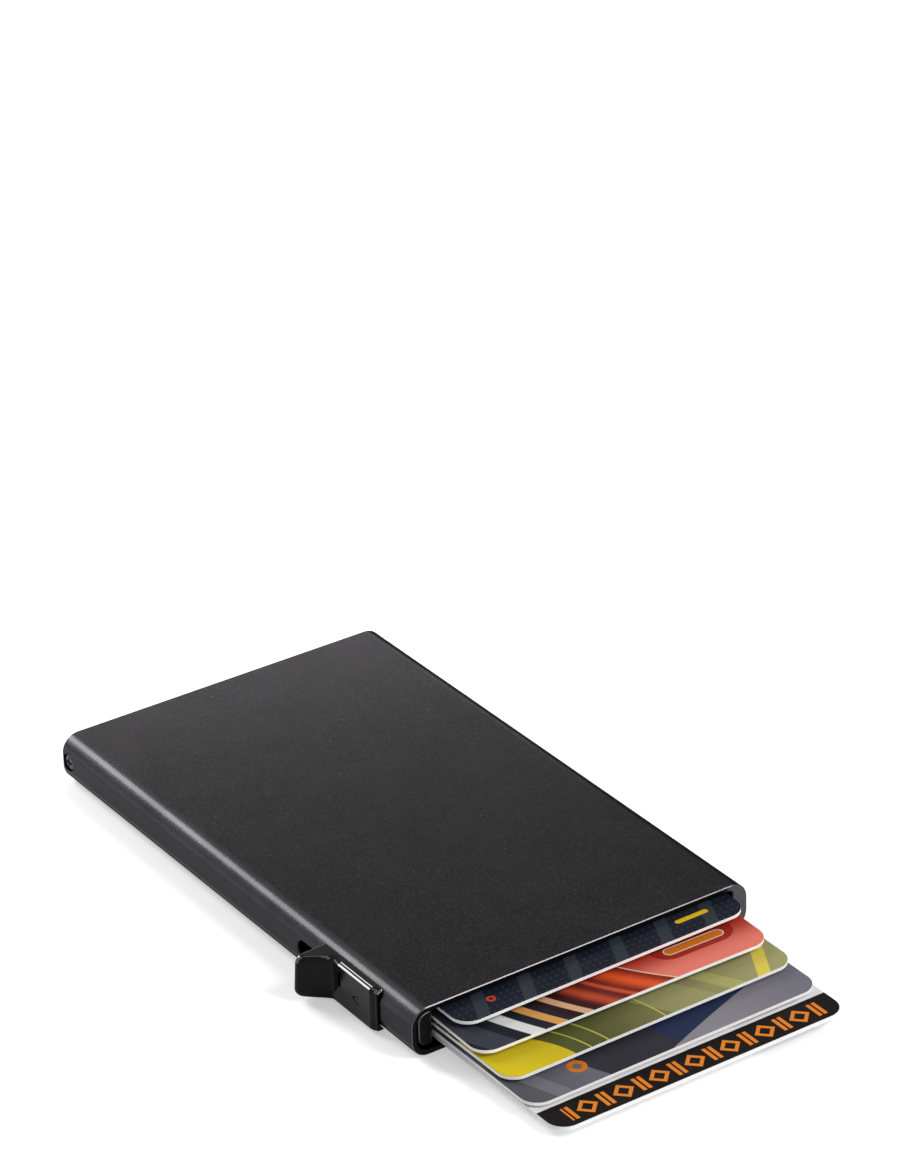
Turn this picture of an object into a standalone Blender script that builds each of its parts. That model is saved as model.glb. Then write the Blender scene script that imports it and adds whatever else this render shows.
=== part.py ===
"""Card holder: an extruded aluminium tube that holds five cards.

A slider on the narrow left side pulls a draw bar, which turns a stepped lever behind the cards. Each step
of the lever pushes one card out of the mouth, the lowest card furthest.

Metres, +Z up. The origin is the centre of the tube's bottom face. The mouth faces -Y, the slider is on -X.
"""

import math

import bmesh
import bpy
from mathutils import Matrix

# Clearances and cutter overrun
GAP = 0.0003
PIN_GAP = 0.0002
OVERRUN = 0.001

# Cards, and their places in the open fan from the top card to the bottom one
CARD_LENGTH = 0.0856
CARD_WIDTH = 0.05398
CARD_THICKNESS = 0.00076
CARD_CORNER = 0.00318
CARDS_OUT = (0.0055, 0.01205, 0.01785, 0.0240, 0.0303)
CARDS_ASIDE = (0.0, -0.0002, -0.00055, -0.00055, -0.0002)
CARDS_YAW_DEG = (0.3, -0.75, 0.5, 0.35, 0.2)
GAPS_BELOW = (0.00075, 0.0007, 0.00045, GAP, GAP)

# Tube
WALL = 0.00095
RIGHT_WALL = 0.00275
CHANNEL_WIDTH = 0.0031
CARD_PLAY = 0.00242
MOUTH_INSET = 0.0008
LEVER_SPACE = 0.0153
CAP_WALL = 0.0015
TUBE_CORNER = 0.0031
INNER_CORNER = 0.0006
MOUTH_CHAMFER = 0.0003
REAR_CHAMFER = 0.0002

# Slot in the left wall, measured from the mouth
SLOT_REAR = 0.03146
SLOT_HEIGHT = 0.0033
SLIDER_TRAVEL = 0.009

# Thumb slider: places along it are measured from the mouth, and heights out from the tube's side
SLIDER_FRONT = 0.0088
SLIDER_REAR = 0.0249
SLIDER_HEIGHT = 0.0073
PLATE_OUT = 0.00078
NOSE_DROP = 0.00033
NOSE_LENGTH = 0.0013
WRAP_DEPTH = 0.0012
RAMP_START = 0.0204
RAMP_LENGTH = 0.0035
RAMP_OUT_SHARES = (0.0, 0.05, 0.16, 0.34, 0.55, 0.77, 0.95)
LIP_OUT = 0.0051
LIP_TIP_RADIUS = 0.00035
LIP_REAR_LEAN = 0.0006
LIP_CORNER = 0.0013
SLIDER_EDGE = 0.00032
STEM_LENGTH = 0.004
CHEVRON_PLACE = 0.0144
CHEVRON_ARM = 0.0015
CHEVRON_RISE = 0.0008
CHEVRON_STROKE = 0.0003
ENGRAVING_DEPTH = 0.00015
RECESS_PLACE = 0.0186
RECESS_WIDTH = 0.0007
RECESS_HEIGHT = 0.0025
RECESS_RISE = 0.0007

# Slide rail in the left channel
RAIL_WEB = 0.0008
RAIL_FLANGE = 0.0007
RAIL_SIDE_GAP = 0.00055
RAIL_ROUND = 0.0016
RAIL_SETBACK = 0.0005
RAIL_PLUG = 0.0027
RAIL_END_SPACE = 0.0013
RAIL_EDGE = 0.00025

# Carriage, draw bar, rivet and drive pin
BAR_THICKNESS = 0.0006
CARRIAGE_LENGTH = 0.0062
CARRIAGE_LEAD = 0.0009
CARRIAGE_ROUND = 0.0008
RIVET_RADIUS = 0.0004
RIVET_SETBACK = 0.0008
DRIVE_PIN_RADIUS = 0.0006
DRIVE_PIN_ASIDE = 0.00075
BAR_TAB_ASIDE = 0.00065
BAR_TAB_REACH = 0.0014
BAR_FRONT_SETBACK = 0.0004

# Slider screw
SLIDER_SCREW_HEAD = 0.0008
SLIDER_SCREW_SHANK = 0.0004
SLIDER_SCREW_HEAD_HEIGHT = 0.0005
SLIDER_SCREW_LENGTH = 0.0032
SLIDER_SCREW_CROSS = 0.00055

# Return spring
SPRING_RADIUS = 0.0006
SPRING_WIRE = 0.00014
SPRING_TURNS = 14
SPRING_POINTS = 9

# Stepped lever, its pivot and its fork
LEVER_SWING_DEG = 62.0
LEVER_REST_DEG = 5.0
PIVOT_BEHIND_CARDS = 0.0067
HUB_RADIUS = 0.0033
HUB_INSET = 0.00005
ARM_ROOT = 0.0032
ARM_ROOT_STEP = 0.0001
ARM_TIP = 0.0015
ARM_SINK = 0.0004
RELIEF_RADIUS = 0.0046
FORK_WALL = 0.0008
FORK_PLAY = 0.00045
FORK_REACH = 0.0094
FORK_HEIGHT = 0.0021
PIVOT_RADIUS = 0.0009

# End cap
TONGUE_THICKNESS = 0.0005
TONGUE_HALF_WIDTH = 0.0026
TONGUE_RADIUS = 0.0034
BOSS_DEPTH = 0.0014
BOSS_WIDTH = 0.0036
CAP_SETBACK = 0.0003

# End screws
SCREW_FROM_REAR = 0.0017
SCREW_HEAD = 0.00125
SCREW_RIM = 0.0002
SCREW_CONE = 0.0006
SCREW_SHANK = 0.0006
SCREW_LENGTH = 0.0032
SCREW_SETBACK = 0.0002
SCREW_CROSS = 0.0009
SCREW_CROSS_WIDTH = 0.00028
SCREW_CROSS_DEPTH = 0.00035
RIGHT_SCREW_SINK = 0.0009

# Grip felt in the right wall
FELT_FRONT = 0.004
FELT_LENGTH = 0.02
FELT_HEIGHT = 0.0033
FELT_THICKNESS = 0.00115
FELT_PROUD = 0.0006

# Facets of round shapes
CORNER_STEPS = 9
SMALL_STEPS = 5
CIRCLE_STEPS = 28
PIN_STEPS = 16
SMOOTH_DEG = 32.0

# Places that follow from the sizes above
card_count = len(CARDS_OUT)
stack_height = sum(GAPS_BELOW) + card_count * CARD_THICKNESS + GAP
tube_height = stack_height + 2 * WALL
tube_width = WALL + CHANNEL_WIDTH + CARD_WIDTH + CARD_PLAY + RIGHT_WALL
tube_length = MOUTH_INSET + CARD_LENGTH + LEVER_SPACE + CAP_WALL
mid_height = tube_height / 2
floor = WALL
ceiling = tube_height - WALL
left_face = -tube_width / 2
right_face = tube_width / 2
left_inner = left_face + WALL
right_inner = right_face - RIGHT_WALL
bay_left = left_inner + CHANNEL_WIDTH
bay_middle = (bay_left + right_inner) / 2
mouth_y = -tube_length / 2
rear_y = tube_length / 2
cap_front = rear_y - CAP_WALL
closed_rear = mouth_y + MOUTH_INSET + CARD_LENGTH
stem_rear = mouth_y + SLOT_REAR - GAP - SLIDER_TRAVEL
stem_front = stem_rear - STEM_LENGTH
stem_middle = (stem_front + stem_rear) / 2
drive_pin_x = bay_left - DRIVE_PIN_ASIDE
crank_radius = SLIDER_TRAVEL / 2 / math.tan(math.radians(LEVER_SWING_DEG) / 2)
pivot_x = drive_pin_x + crank_radius
pivot_y = closed_rear + PIVOT_BEHIND_CARDS
drive_pin_y = pivot_y - SLIDER_TRAVEL / 2
tongue_low = floor + GAP
tongue_high = ceiling - GAP
lever_low = tongue_low + TONGUE_THICKNESS + GAP
lever_high = tongue_high - TONGUE_THICKNESS - GAP
rail_left = left_inner + RAIL_SIDE_GAP
rail_low = floor + GAP
rail_high = ceiling - GAP
groove_low = rail_low + RAIL_FLANGE
groove_high = rail_high - RAIL_FLANGE
groove_right = bay_left - RAIL_WEB
rail_front = mouth_y + RAIL_SETBACK
rail_rear = closed_rear - RAIL_END_SPACE
groove_front = rail_front + RAIL_PLUG
bar_low = groove_low + GAP
bar_high = bar_low + BAR_THICKNESS
carriage_low = bar_high + GAP
carriage_high = groove_high - GAP
carriage_left = left_inner + GAP
carriage_right = groove_right - GAP
carriage_front = stem_front - CARRIAGE_LEAD
carriage_rear = carriage_front + CARRIAGE_LENGTH
rivet_x = (carriage_left + carriage_right) / 2
rivet_y = carriage_rear - RIVET_SETBACK
screw_y = rear_y - SCREW_FROM_REAR
left_screw_tip = left_face + SCREW_SETBACK + SCREW_LENGTH
screw_reach = left_screw_tip - left_inner
right_screw_tip = right_inner - screw_reach
right_screw_length = right_face - RIGHT_SCREW_SINK - right_screw_tip


def card_bottoms():
    """Heights of the cards' lower faces, from the top card to the bottom one."""
    bottoms = []
    height = floor
    for gap in reversed(GAPS_BELOW):
        height += gap
        bottoms.append(height)
        height += CARD_THICKNESS
    return bottoms[::-1]


def step_levels():
    """Lower and upper height of each lever step, half way into the gaps beside its card."""
    bottoms = card_bottoms()
    levels = []
    for place, bottom in enumerate(bottoms):
        low = tongue_low if place == card_count - 1 else bottom - GAPS_BELOW[place] / 2
        high = tongue_high if place == 0 else bottom + CARD_THICKNESS + GAPS_BELOW[place - 1] / 2
        levels.append((low, high))
    return levels


def arc(centre, radius, start_deg, end_deg, steps):
    """Points on an arc, both ends included."""
    points = []
    for step in range(steps + 1):
        angle = math.radians(start_deg + (end_deg - start_deg) * step / steps)
        points.append((centre[0] + radius * math.cos(angle), centre[1] + radius * math.sin(angle)))
    return points


def circle(centre, radius, steps):
    """Points round a circle, the first not repeated."""
    return arc(centre, radius, 0, 360, steps)[:-1]


def rounded_outline(low, high, radii, steps):
    """A rectangle's outline with its own radius at each corner, from the high corner round to the right low one."""
    corners = (
        (high[0], high[1], -1, -1),
        (low[0], high[1], 1, -1),
        (low[0], low[1], 1, 1),
        (high[0], low[1], -1, 1),
    )
    points = []
    for place, (a, b, inward_a, inward_b) in enumerate(corners):
        radius = radii[place]
        if radius == 0:
            points.append((a, b))
            continue
        centre = (a + inward_a * radius, b + inward_b * radius)
        points += arc(centre, radius, 90 * place, 90 * place + 90, steps)
    return points


def tapered_outline(root, tip, reach, angle_deg, steps):
    """The outline round a root circle at the origin and a tip circle that lies at reach from it."""
    lean = math.degrees(math.asin((root - tip) / reach))
    angle = math.radians(angle_deg)
    tip_centre = (reach * math.cos(angle), reach * math.sin(angle))
    side = 90 - lean
    points = arc(tip_centre, tip, angle_deg - side, angle_deg + side, steps)
    points += arc((0, 0), root, angle_deg + side, angle_deg + 360 - side, steps)
    return points


def place_point(point, height, axis):
    """A point of an outline at a height along the axis that the outline is drawn across."""
    a, b = point
    if axis == "X":
        return (height, a, b)
    if axis == "Y":
        return (a, height, b)
    return (a, b, height)


def fill_between(shape, loops):
    """Side faces between loops of equal length, with a cap at each end."""
    rings = [[shape.verts.new(point) for point in loop] for loop in loops]
    for lower, upper in zip(rings, rings[1:]):
        count = len(lower)
        for i in range(count):
            j = (i + 1) % count
            shape.faces.new((lower[i], lower[j], upper[j], upper[i]))
    shape.faces.new(rings[0])
    shape.faces.new(rings[-1])


def add_prism(shape, outline, low, high, axis):
    """An outline drawn across an axis, raised from low to high along it."""
    fill_between(shape, [[place_point(p, height, axis) for p in outline] for height in (low, high)])


def add_box(shape, low, high):
    """A block between two corners."""
    outline = rounded_outline(low[:2], high[:2], (0, 0, 0, 0), 1)
    add_prism(shape, outline, low[2], high[2], "Z")


def add_turned(shape, profile, steps):
    """A profile of radius and height turned about Z, with flat ends."""
    loops = []
    for radius, height in profile:
        loops.append([(*point, height) for point in circle((0, 0), radius, steps)])
    fill_between(shape, loops)


def mesh_from(shape, name):
    """A smooth-shaded mesh with its faces pointing out."""
    bmesh.ops.recalc_face_normals(shape, faces=shape.faces)
    mesh = bpy.data.meshes.new(name)
    shape.to_mesh(mesh)
    shape.free()
    mesh.shade_smooth()
    mesh.set_sharp_from_angle(angle=math.radians(SMOOTH_DEG))
    return mesh


def make_material(name, colour, roughness, metallic):
    material = bpy.data.materials.new(name)
    material.use_nodes = True
    shader = material.node_tree.nodes["Principled BSDF"]
    shader.inputs["Base Color"].default_value = (*colour, 1)
    shader.inputs["Roughness"].default_value = roughness
    shader.inputs["Metallic"].default_value = metallic
    material.diffuse_color = (*colour, 1)
    return material


def add_piece(name, shape, material, parent=None, location=(0, 0, 0), rotation=(0, 0, 0)):
    """One named sub-part. Its place is given in the part's frame, whatever its parent."""
    piece = bpy.data.objects.new(name, mesh_from(shape, name))
    bpy.context.collection.objects.link(piece)
    piece.data.materials.append(material)
    piece.location = location
    piece.rotation_euler = rotation
    if parent:
        piece.parent = parent
        piece.matrix_parent_inverse = Matrix.Translation(parent.location).inverted()
    return piece


def shape_with(piece, name, shape, operation):
    """Cuts, joins or limits a piece with a hidden helper shape that shares the piece's own frame."""
    helper = bpy.data.objects.new(name, mesh_from(shape, name))
    bpy.context.collection.objects.link(helper)
    helper.parent = piece
    helper.hide_render = True
    helper.display_type = "WIRE"
    change = piece.modifiers.new(name, "BOOLEAN")
    change.operation = operation
    change.solver = "EXACT"
    change.object = helper


def settle_shapes():
    """Turns the cuts and joins into plain meshes, shades them smooth and drops the helper shapes."""
    scene_state = bpy.context.evaluated_depsgraph_get()
    changed = [piece for piece in bpy.data.objects if piece.modifiers]
    for piece in changed:
        mesh = bpy.data.meshes.new_from_object(piece.evaluated_get(scene_state))
        mesh.shade_smooth()
        mesh.set_sharp_from_angle(angle=math.radians(SMOOTH_DEG))
        mesh.name = piece.name
        piece.modifiers.clear()
        piece.data = mesh
    for helper in [item for item in bpy.data.objects if item.display_type == "WIRE"]:
        bpy.data.objects.remove(helper, do_unlink=True)


def add_axis(name, location):
    """An empty that carries the pieces moving together."""
    axis = bpy.data.objects.new(name, None)
    bpy.context.collection.objects.link(axis)
    axis.location = location
    return axis


def tube_outline(inset, spread):
    """The tube's outer section, moved in by inset or out by spread."""
    move = spread - inset
    low = (left_face - move, -move)
    high = (right_face + move, tube_height + move)
    return rounded_outline(low, high, (TUBE_CORNER + move,) * 4, CORNER_STEPS)


def bay_outline(inset):
    """The tube's hollow section, moved in by inset."""
    low = (left_inner + inset, floor + inset)
    high = (right_inner - inset, ceiling - inset)
    left_radius = TUBE_CORNER - WALL - inset
    right_radius = INNER_CORNER
    return rounded_outline(low, high, (right_radius, left_radius, left_radius, right_radius), CORNER_STEPS)


def case_tube(material):
    shape = bmesh.new()
    sections = (
        (mouth_y, MOUTH_CHAMFER),
        (mouth_y + MOUTH_CHAMFER, 0),
        (rear_y - REAR_CHAMFER, 0),
        (rear_y, REAR_CHAMFER),
    )
    loops = []
    for y, inset in sections:
        loops.append([place_point(point, y, "Y") for point in tube_outline(inset, 0)])
    fill_between(shape, loops)
    tube = add_piece("case_tube", shape, material)

    hollow = bmesh.new()
    add_prism(hollow, bay_outline(0), mouth_y - OVERRUN, rear_y + OVERRUN, "Y")
    shape_with(tube, "tube_hollow_cutter", hollow, "DIFFERENCE")

    openings = bmesh.new()
    slot_low = (stem_front - GAP, mid_height - SLOT_HEIGHT / 2)
    slot_high = (mouth_y + SLOT_REAR, mid_height + SLOT_HEIGHT / 2)
    slot = rounded_outline(slot_low, slot_high, (SLOT_HEIGHT / 2,) * 4, SMALL_STEPS)
    add_prism(openings, slot, left_face - OVERRUN, left_inner + OVERRUN, "X")
    felt_low = (mouth_y + FELT_FRONT - PIN_GAP, mid_height - FELT_HEIGHT / 2 - PIN_GAP)
    felt_high = (mouth_y + FELT_FRONT + FELT_LENGTH + PIN_GAP, mid_height + FELT_HEIGHT / 2 + PIN_GAP)
    groove = rounded_outline(felt_low, felt_high, (0, 0, 0, 0), 1)
    felt_depth = FELT_THICKNESS - FELT_PROUD + PIN_GAP
    add_prism(openings, groove, right_inner - OVERRUN, right_inner + felt_depth, "X")
    shape_with(tube, "tube_openings_cutter", openings, "DIFFERENCE")

    for side, face, inner in (("left", left_face, left_inner), ("right", right_face, right_inner)):
        sign = -1 if side == "left" else 1
        sink = SCREW_SETBACK if side == "left" else RIGHT_SCREW_SINK
        seat = bmesh.new()
        head = SCREW_HEAD + GAP
        shank = SCREW_SHANK + PIN_GAP
        profile = (
            (head, OVERRUN),
            (head, -sink - SCREW_RIM - GAP / 2),
            (shank, -sink - SCREW_RIM - SCREW_CONE - GAP / 2),
            (shank, -abs(face - inner) - OVERRUN),
        )
        add_turned(seat, profile, CIRCLE_STEPS)
        turn = Matrix.Rotation(sign * math.pi / 2, 4, "Y")
        seat.transform(Matrix.Translation((face, screw_y, mid_height)) @ turn)
        shape_with(tube, side + "_screw_seat_cutter", seat, "DIFFERENCE")


def cross_outline(reach, width):
    """A plus sign."""
    half = width / 2
    quarter = ((reach, -half), (reach, half), (half, half))
    points = []
    for turn in range(4):
        cos, sin = math.cos(turn * math.pi / 2), math.sin(turn * math.pi / 2)
        points += [(a * cos - b * sin, a * sin + b * cos) for a, b in quarter]
    return points


def cross_screw(name, material, profile, cross, location, rotation, parent=None):
    """A turned screw with its head face at its origin, and a cross recess in the head."""
    shape = bmesh.new()
    add_turned(shape, profile, PIN_STEPS)
    screw = add_piece(name, shape, material, parent, location, rotation)
    recess = bmesh.new()
    reach, width, depth = cross
    add_prism(recess, cross_outline(reach, width), -depth, OVERRUN, "Z")
    shape_with(screw, name + "_recess_cutter", recess, "DIFFERENCE")


def end_screws(material):
    profile = (
        (SCREW_HEAD, 0),
        (SCREW_HEAD, -SCREW_RIM),
        (SCREW_SHANK, -SCREW_RIM - SCREW_CONE),
        (SCREW_SHANK, -SCREW_LENGTH),
    )
    cross = (SCREW_CROSS, SCREW_CROSS_WIDTH, SCREW_CROSS_DEPTH)
    left_place = (left_face + SCREW_SETBACK, screw_y, mid_height)
    right_place = (right_face - RIGHT_SCREW_SINK, screw_y, mid_height)
    longer = profile[:3] + ((SCREW_SHANK, -right_screw_length),)
    cross_screw("end_screw_left", material, profile, cross, left_place, (0, -math.pi / 2, 0))
    cross_screw("end_screw_right", material, longer, cross, right_place, (0, math.pi / 2, 0))


def tongue_outline():
    """A strip from the cap to the pivot, with a round end about it."""
    start = math.degrees(math.asin(TONGUE_HALF_WIDTH / TONGUE_RADIUS))
    points = arc((pivot_x, pivot_y), TONGUE_RADIUS, 90 + start, 450 - start, CIRCLE_STEPS)
    root = cap_front + CAP_WALL / 2
    return points + [(pivot_x + TONGUE_HALF_WIDTH, root), (pivot_x - TONGUE_HALF_WIDTH, root)]


def end_cap(material):
    left = left_inner + GAP
    right = right_inner - GAP
    boss = cap_front - BOSS_DEPTH
    back = rear_y - CAP_SETBACK
    plan = (
        (left, back),
        (left, boss),
        (left + BOSS_WIDTH, boss),
        (left + BOSS_WIDTH, cap_front),
        (right - BOSS_WIDTH, cap_front),
        (right - BOSS_WIDTH, boss),
        (right, boss),
        (right, back),
    )
    shape = bmesh.new()
    add_prism(shape, plan, floor - OVERRUN, ceiling + OVERRUN, "Z")
    cap = add_piece("end_cap", shape, material)

    section = bmesh.new()
    add_prism(section, bay_outline(GAP), boss - OVERRUN, rear_y + OVERRUN, "Y")
    shape_with(cap, "cap_section_limit", section, "INTERSECT")
    for name, low in (("lower", tongue_low), ("upper", tongue_high - TONGUE_THICKNESS)):
        tongue = bmesh.new()
        add_prism(tongue, tongue_outline(), low, low + TONGUE_THICKNESS, "Z")
        shape_with(cap, name + "_tongue", tongue, "UNION")

    holes = bmesh.new()
    pivot = circle((pivot_x, pivot_y), PIVOT_RADIUS + PIN_GAP, CIRCLE_STEPS)
    add_prism(holes, pivot, 0, tube_height, "Z")
    bore = circle((screw_y, mid_height), SCREW_SHANK + PIN_GAP, PIN_STEPS)
    add_prism(holes, bore, left - OVERRUN, left_screw_tip + GAP, "X")
    add_prism(holes, bore, right_screw_tip - GAP, right + OVERRUN, "X")
    shape_with(cap, "cap_holes_cutter", holes, "DIFFERENCE")


def pivot_pin(material):
    shape = bmesh.new()
    outline = circle((0, 0), PIVOT_RADIUS, PIN_STEPS)
    add_prism(shape, outline, tongue_low, tongue_high, "Z")
    add_piece("pivot_pin", shape, material, location=(pivot_x, pivot_y, 0))


def arm_reach(out):
    """How far a step's tip lies from the pivot, so that full swing takes its card out by this much."""
    card_rear = mouth_y - out + CARD_LENGTH
    reach = pivot_y - card_rear - GAP - ARM_TIP
    return reach / math.sin(math.radians(LEVER_SWING_DEG - LEVER_REST_DEG))


def stepped_lever(material):
    levels = step_levels()
    longest = card_count - 1
    shape = bmesh.new()
    outline = tapered_outline(ARM_ROOT, ARM_TIP, arm_reach(CARDS_OUT[longest]), LEVER_REST_DEG, SMALL_STEPS * 2)
    add_prism(shape, outline, *levels[longest], "Z")
    lever = add_piece("stepped_lever", shape, material, location=(pivot_x, pivot_y, 0))

    for place in reversed(range(longest)):
        root = ARM_ROOT - ARM_ROOT_STEP * (longest - place)
        reach = arm_reach(CARDS_OUT[place])
        outline = tapered_outline(root, ARM_TIP, reach, LEVER_REST_DEG, SMALL_STEPS * 2)
        low, high = levels[place]
        step = bmesh.new()
        add_prism(step, outline, low - ARM_SINK, high, "Z")
        shape_with(lever, "lever_step_%d" % (place + 1), step, "UNION")

    hub = bmesh.new()
    add_prism(hub, circle((0, 0), HUB_RADIUS, CIRCLE_STEPS), lever_low + HUB_INSET, lever_high - HUB_INSET, "Z")
    shape_with(lever, "lever_hub", hub, "UNION")

    crank_deg = 180 + LEVER_SWING_DEG / 2
    turn = Matrix.Rotation(math.radians(crank_deg), 4, "Z")
    slot_half = DRIVE_PIN_RADIUS + FORK_PLAY
    half_width = slot_half + FORK_WALL
    fork_low = mid_height - FORK_HEIGHT / 2
    fork_high = mid_height + FORK_HEIGHT / 2
    crank = bmesh.new()
    add_box(crank, (0, -half_width, fork_low), (FORK_REACH, half_width, fork_high))
    crank.transform(turn)
    shape_with(lever, "lever_crank", crank, "UNION")

    cuts = bmesh.new()
    slot_start = crank_radius - slot_half
    slot = rounded_outline(
        (slot_start, -slot_half),
        (FORK_REACH + OVERRUN, slot_half),
        (0, slot_half, slot_half, 0),
        SMALL_STEPS,
    )
    add_prism(cuts, slot, fork_low - OVERRUN, fork_high + OVERRUN, "Z")
    cuts.transform(turn)
    shape_with(lever, "lever_fork_cutter", cuts, "DIFFERENCE")

    relief = bmesh.new()
    ring = circle((0, 0), RELIEF_RADIUS, CIRCLE_STEPS)
    add_prism(relief, ring, 0, lever_low, "Z")
    add_prism(relief, ring, lever_high, tube_height, "Z")
    shape_with(lever, "lever_relief_cutter", relief, "DIFFERENCE")

    bore = bmesh.new()
    add_prism(bore, circle((0, 0), PIVOT_RADIUS + PIN_GAP, CIRCLE_STEPS), 0, tube_height, "Z")
    shape_with(lever, "lever_bore_cutter", bore, "DIFFERENCE")


def slide_rail(material):
    low = (rail_left, rail_low)
    high = (bay_left, rail_high)
    section = rounded_outline(low, high, (RAIL_EDGE, RAIL_ROUND, RAIL_ROUND, RAIL_EDGE), SMALL_STEPS)
    shape = bmesh.new()
    add_prism(shape, section, rail_front, rail_rear, "Y")
    rail = add_piece("slide_rail", shape, material)
    groove = bmesh.new()
    groove_end = rail_rear + OVERRUN
    add_box(
        groove,
        (rail_left - OVERRUN, groove_front, groove_low),
        (groove_right, groove_end, groove_high),
    )
    shape_with(rail, "rail_groove_cutter", groove, "DIFFERENCE")


def slider_plan():
    """The slider seen from above: a plate along the tube, with a ramp and a thumb lip at its rear."""
    front = mouth_y + SLIDER_FRONT
    rear = mouth_y + SLIDER_REAR
    plate = left_face - PLATE_OUT
    nose = plate + NOSE_DROP
    tip = left_face - LIP_OUT
    inner = left_face + WRAP_DEPTH
    points = [(inner, rear), (inner, front), (nose, front), (plate, front + NOSE_LENGTH)]
    ramp_out = LIP_OUT - PLATE_OUT
    steps = len(RAMP_OUT_SHARES) - 1
    for place, share in enumerate(RAMP_OUT_SHARES):
        y = mouth_y + RAMP_START + RAMP_LENGTH * place / steps
        points.append((plate - ramp_out * share, y))
    lip_rear = rear - LIP_REAR_LEAN
    centre = (tip + LIP_TIP_RADIUS, lip_rear - LIP_TIP_RADIUS)
    points += arc(centre, LIP_TIP_RADIUS, 180, 90, SMALL_STEPS)
    return points


def soften_rims(shape, offset):
    """Rounds the edges round the top and bottom faces of an upright prism."""
    rims = [edge for edge in shape.edges if abs(edge.verts[0].co.z - edge.verts[1].co.z) < offset]
    bmesh.ops.bevel(shape, geom=rims, offset=offset, segments=2, profile=0.5, affect="EDGES")


def chevron_outline():
    """A chevron that points to the closed end, drawn across X."""
    y = mouth_y + CHEVRON_PLACE
    tip = (y + CHEVRON_ARM / 2, mid_height)
    tail = y - CHEVRON_ARM / 2
    stroke = CHEVRON_STROKE * 2
    return (
        tip,
        (tail, mid_height + CHEVRON_RISE),
        (tail - stroke, mid_height + CHEVRON_RISE),
        (tip[0] - stroke, mid_height),
        (tail - stroke, mid_height - CHEVRON_RISE),
        (tail, mid_height - CHEVRON_RISE),
    )


def thumb_slider(material, parent):
    low = mid_height - SLIDER_HEIGHT / 2
    high = mid_height + SLIDER_HEIGHT / 2
    shape = bmesh.new()
    add_prism(shape, slider_plan(), low, high, "Z")
    soften_rims(shape, SLIDER_EDGE)
    slider = add_piece("thumb_slider", shape, material, parent)

    corners = bmesh.new()
    elevation = rounded_outline(
        (left_face - LIP_OUT - GAP, low - OVERRUN + LIP_CORNER / 2),
        (left_face + WRAP_DEPTH + OVERRUN, high + OVERRUN - LIP_CORNER / 2),
        (0, LIP_CORNER * 2, LIP_CORNER * 2, 0),
        CORNER_STEPS,
    )
    add_prism(corners, elevation, mouth_y, mouth_y + SLIDER_REAR + OVERRUN, "Y")
    shape_with(slider, "slider_corner_limit", corners, "INTERSECT")

    hug = bmesh.new()
    add_prism(hug, tube_outline(0, GAP), mouth_y - OVERRUN, rear_y, "Y")
    shape_with(slider, "slider_hug_cutter", hug, "DIFFERENCE")

    stem = bmesh.new()
    stem_half = SLOT_HEIGHT / 2 - GAP
    stem_outline = rounded_outline(
        (stem_front, mid_height - stem_half),
        (stem_rear, mid_height + stem_half),
        (stem_half,) * 4,
        SMALL_STEPS,
    )
    add_prism(stem, stem_outline, left_face - PLATE_OUT / 2, left_inner, "X")
    shape_with(slider, "slider_stem", stem, "UNION")

    marks = bmesh.new()
    outer = left_face - PLATE_OUT
    add_prism(marks, chevron_outline(), outer - OVERRUN, outer + ENGRAVING_DEPTH, "X")
    recess_y = mouth_y + RECESS_PLACE
    recess_z = mid_height + RECESS_RISE
    recess = rounded_outline(
        (recess_y - RECESS_WIDTH / 2, recess_z - RECESS_HEIGHT / 2),
        (recess_y + RECESS_WIDTH / 2, recess_z + RECESS_HEIGHT / 2),
        (0, 0, 0, 0),
        1,
    )
    add_prism(marks, recess, outer - OVERRUN, outer + ENGRAVING_DEPTH, "X")
    bore = circle((stem_middle, mid_height), SLIDER_SCREW_SHANK + PIN_GAP, PIN_STEPS)
    bore_end = carriage_right - SLIDER_SCREW_LENGTH - PIN_GAP
    add_prism(marks, bore, bore_end, left_inner + OVERRUN, "X")
    shape_with(slider, "slider_marks_cutter", marks, "DIFFERENCE")


def slider_carriage(material, parent):
    low = (carriage_left, carriage_low)
    high = (carriage_right, carriage_high)
    section = rounded_outline(low, high, (0, CARRIAGE_ROUND, 0, 0), SMALL_STEPS)
    shape = bmesh.new()
    add_prism(shape, section, carriage_front, carriage_rear, "Y")
    carriage = add_piece("slider_carriage", shape, material, parent)
    holes = bmesh.new()
    shank = SLIDER_SCREW_SHANK + PIN_GAP
    head = SLIDER_SCREW_HEAD + PIN_GAP
    head_floor = -SLIDER_SCREW_HEAD_HEIGHT - PIN_GAP
    profile = (
        (head, OVERRUN),
        (head, head_floor),
        (shank, head_floor),
        (shank, carriage_left - carriage_right - OVERRUN),
    )
    add_turned(holes, profile, PIN_STEPS)
    turn = Matrix.Rotation(math.pi / 2, 4, "Y")
    holes.transform(Matrix.Translation((carriage_right, stem_middle, mid_height)) @ turn)
    add_prism(holes, circle((rivet_x, rivet_y), RIVET_RADIUS + PIN_GAP / 2, PIN_STEPS), 0, tube_height, "Z")
    shape_with(carriage, "carriage_holes_cutter", holes, "DIFFERENCE")


def slider_screw(material, parent):
    profile = (
        (SLIDER_SCREW_HEAD, 0),
        (SLIDER_SCREW_HEAD, -SLIDER_SCREW_HEAD_HEIGHT),
        (SLIDER_SCREW_SHANK, -SLIDER_SCREW_HEAD_HEIGHT),
        (SLIDER_SCREW_SHANK, -SLIDER_SCREW_LENGTH),
    )
    cross = (SLIDER_SCREW_CROSS, SCREW_CROSS_WIDTH, SLIDER_SCREW_HEAD_HEIGHT / 2)
    place = (carriage_right, stem_middle, mid_height)
    cross_screw("slider_screw", material, profile, cross, place, (0, math.pi / 2, 0), parent)


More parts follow.
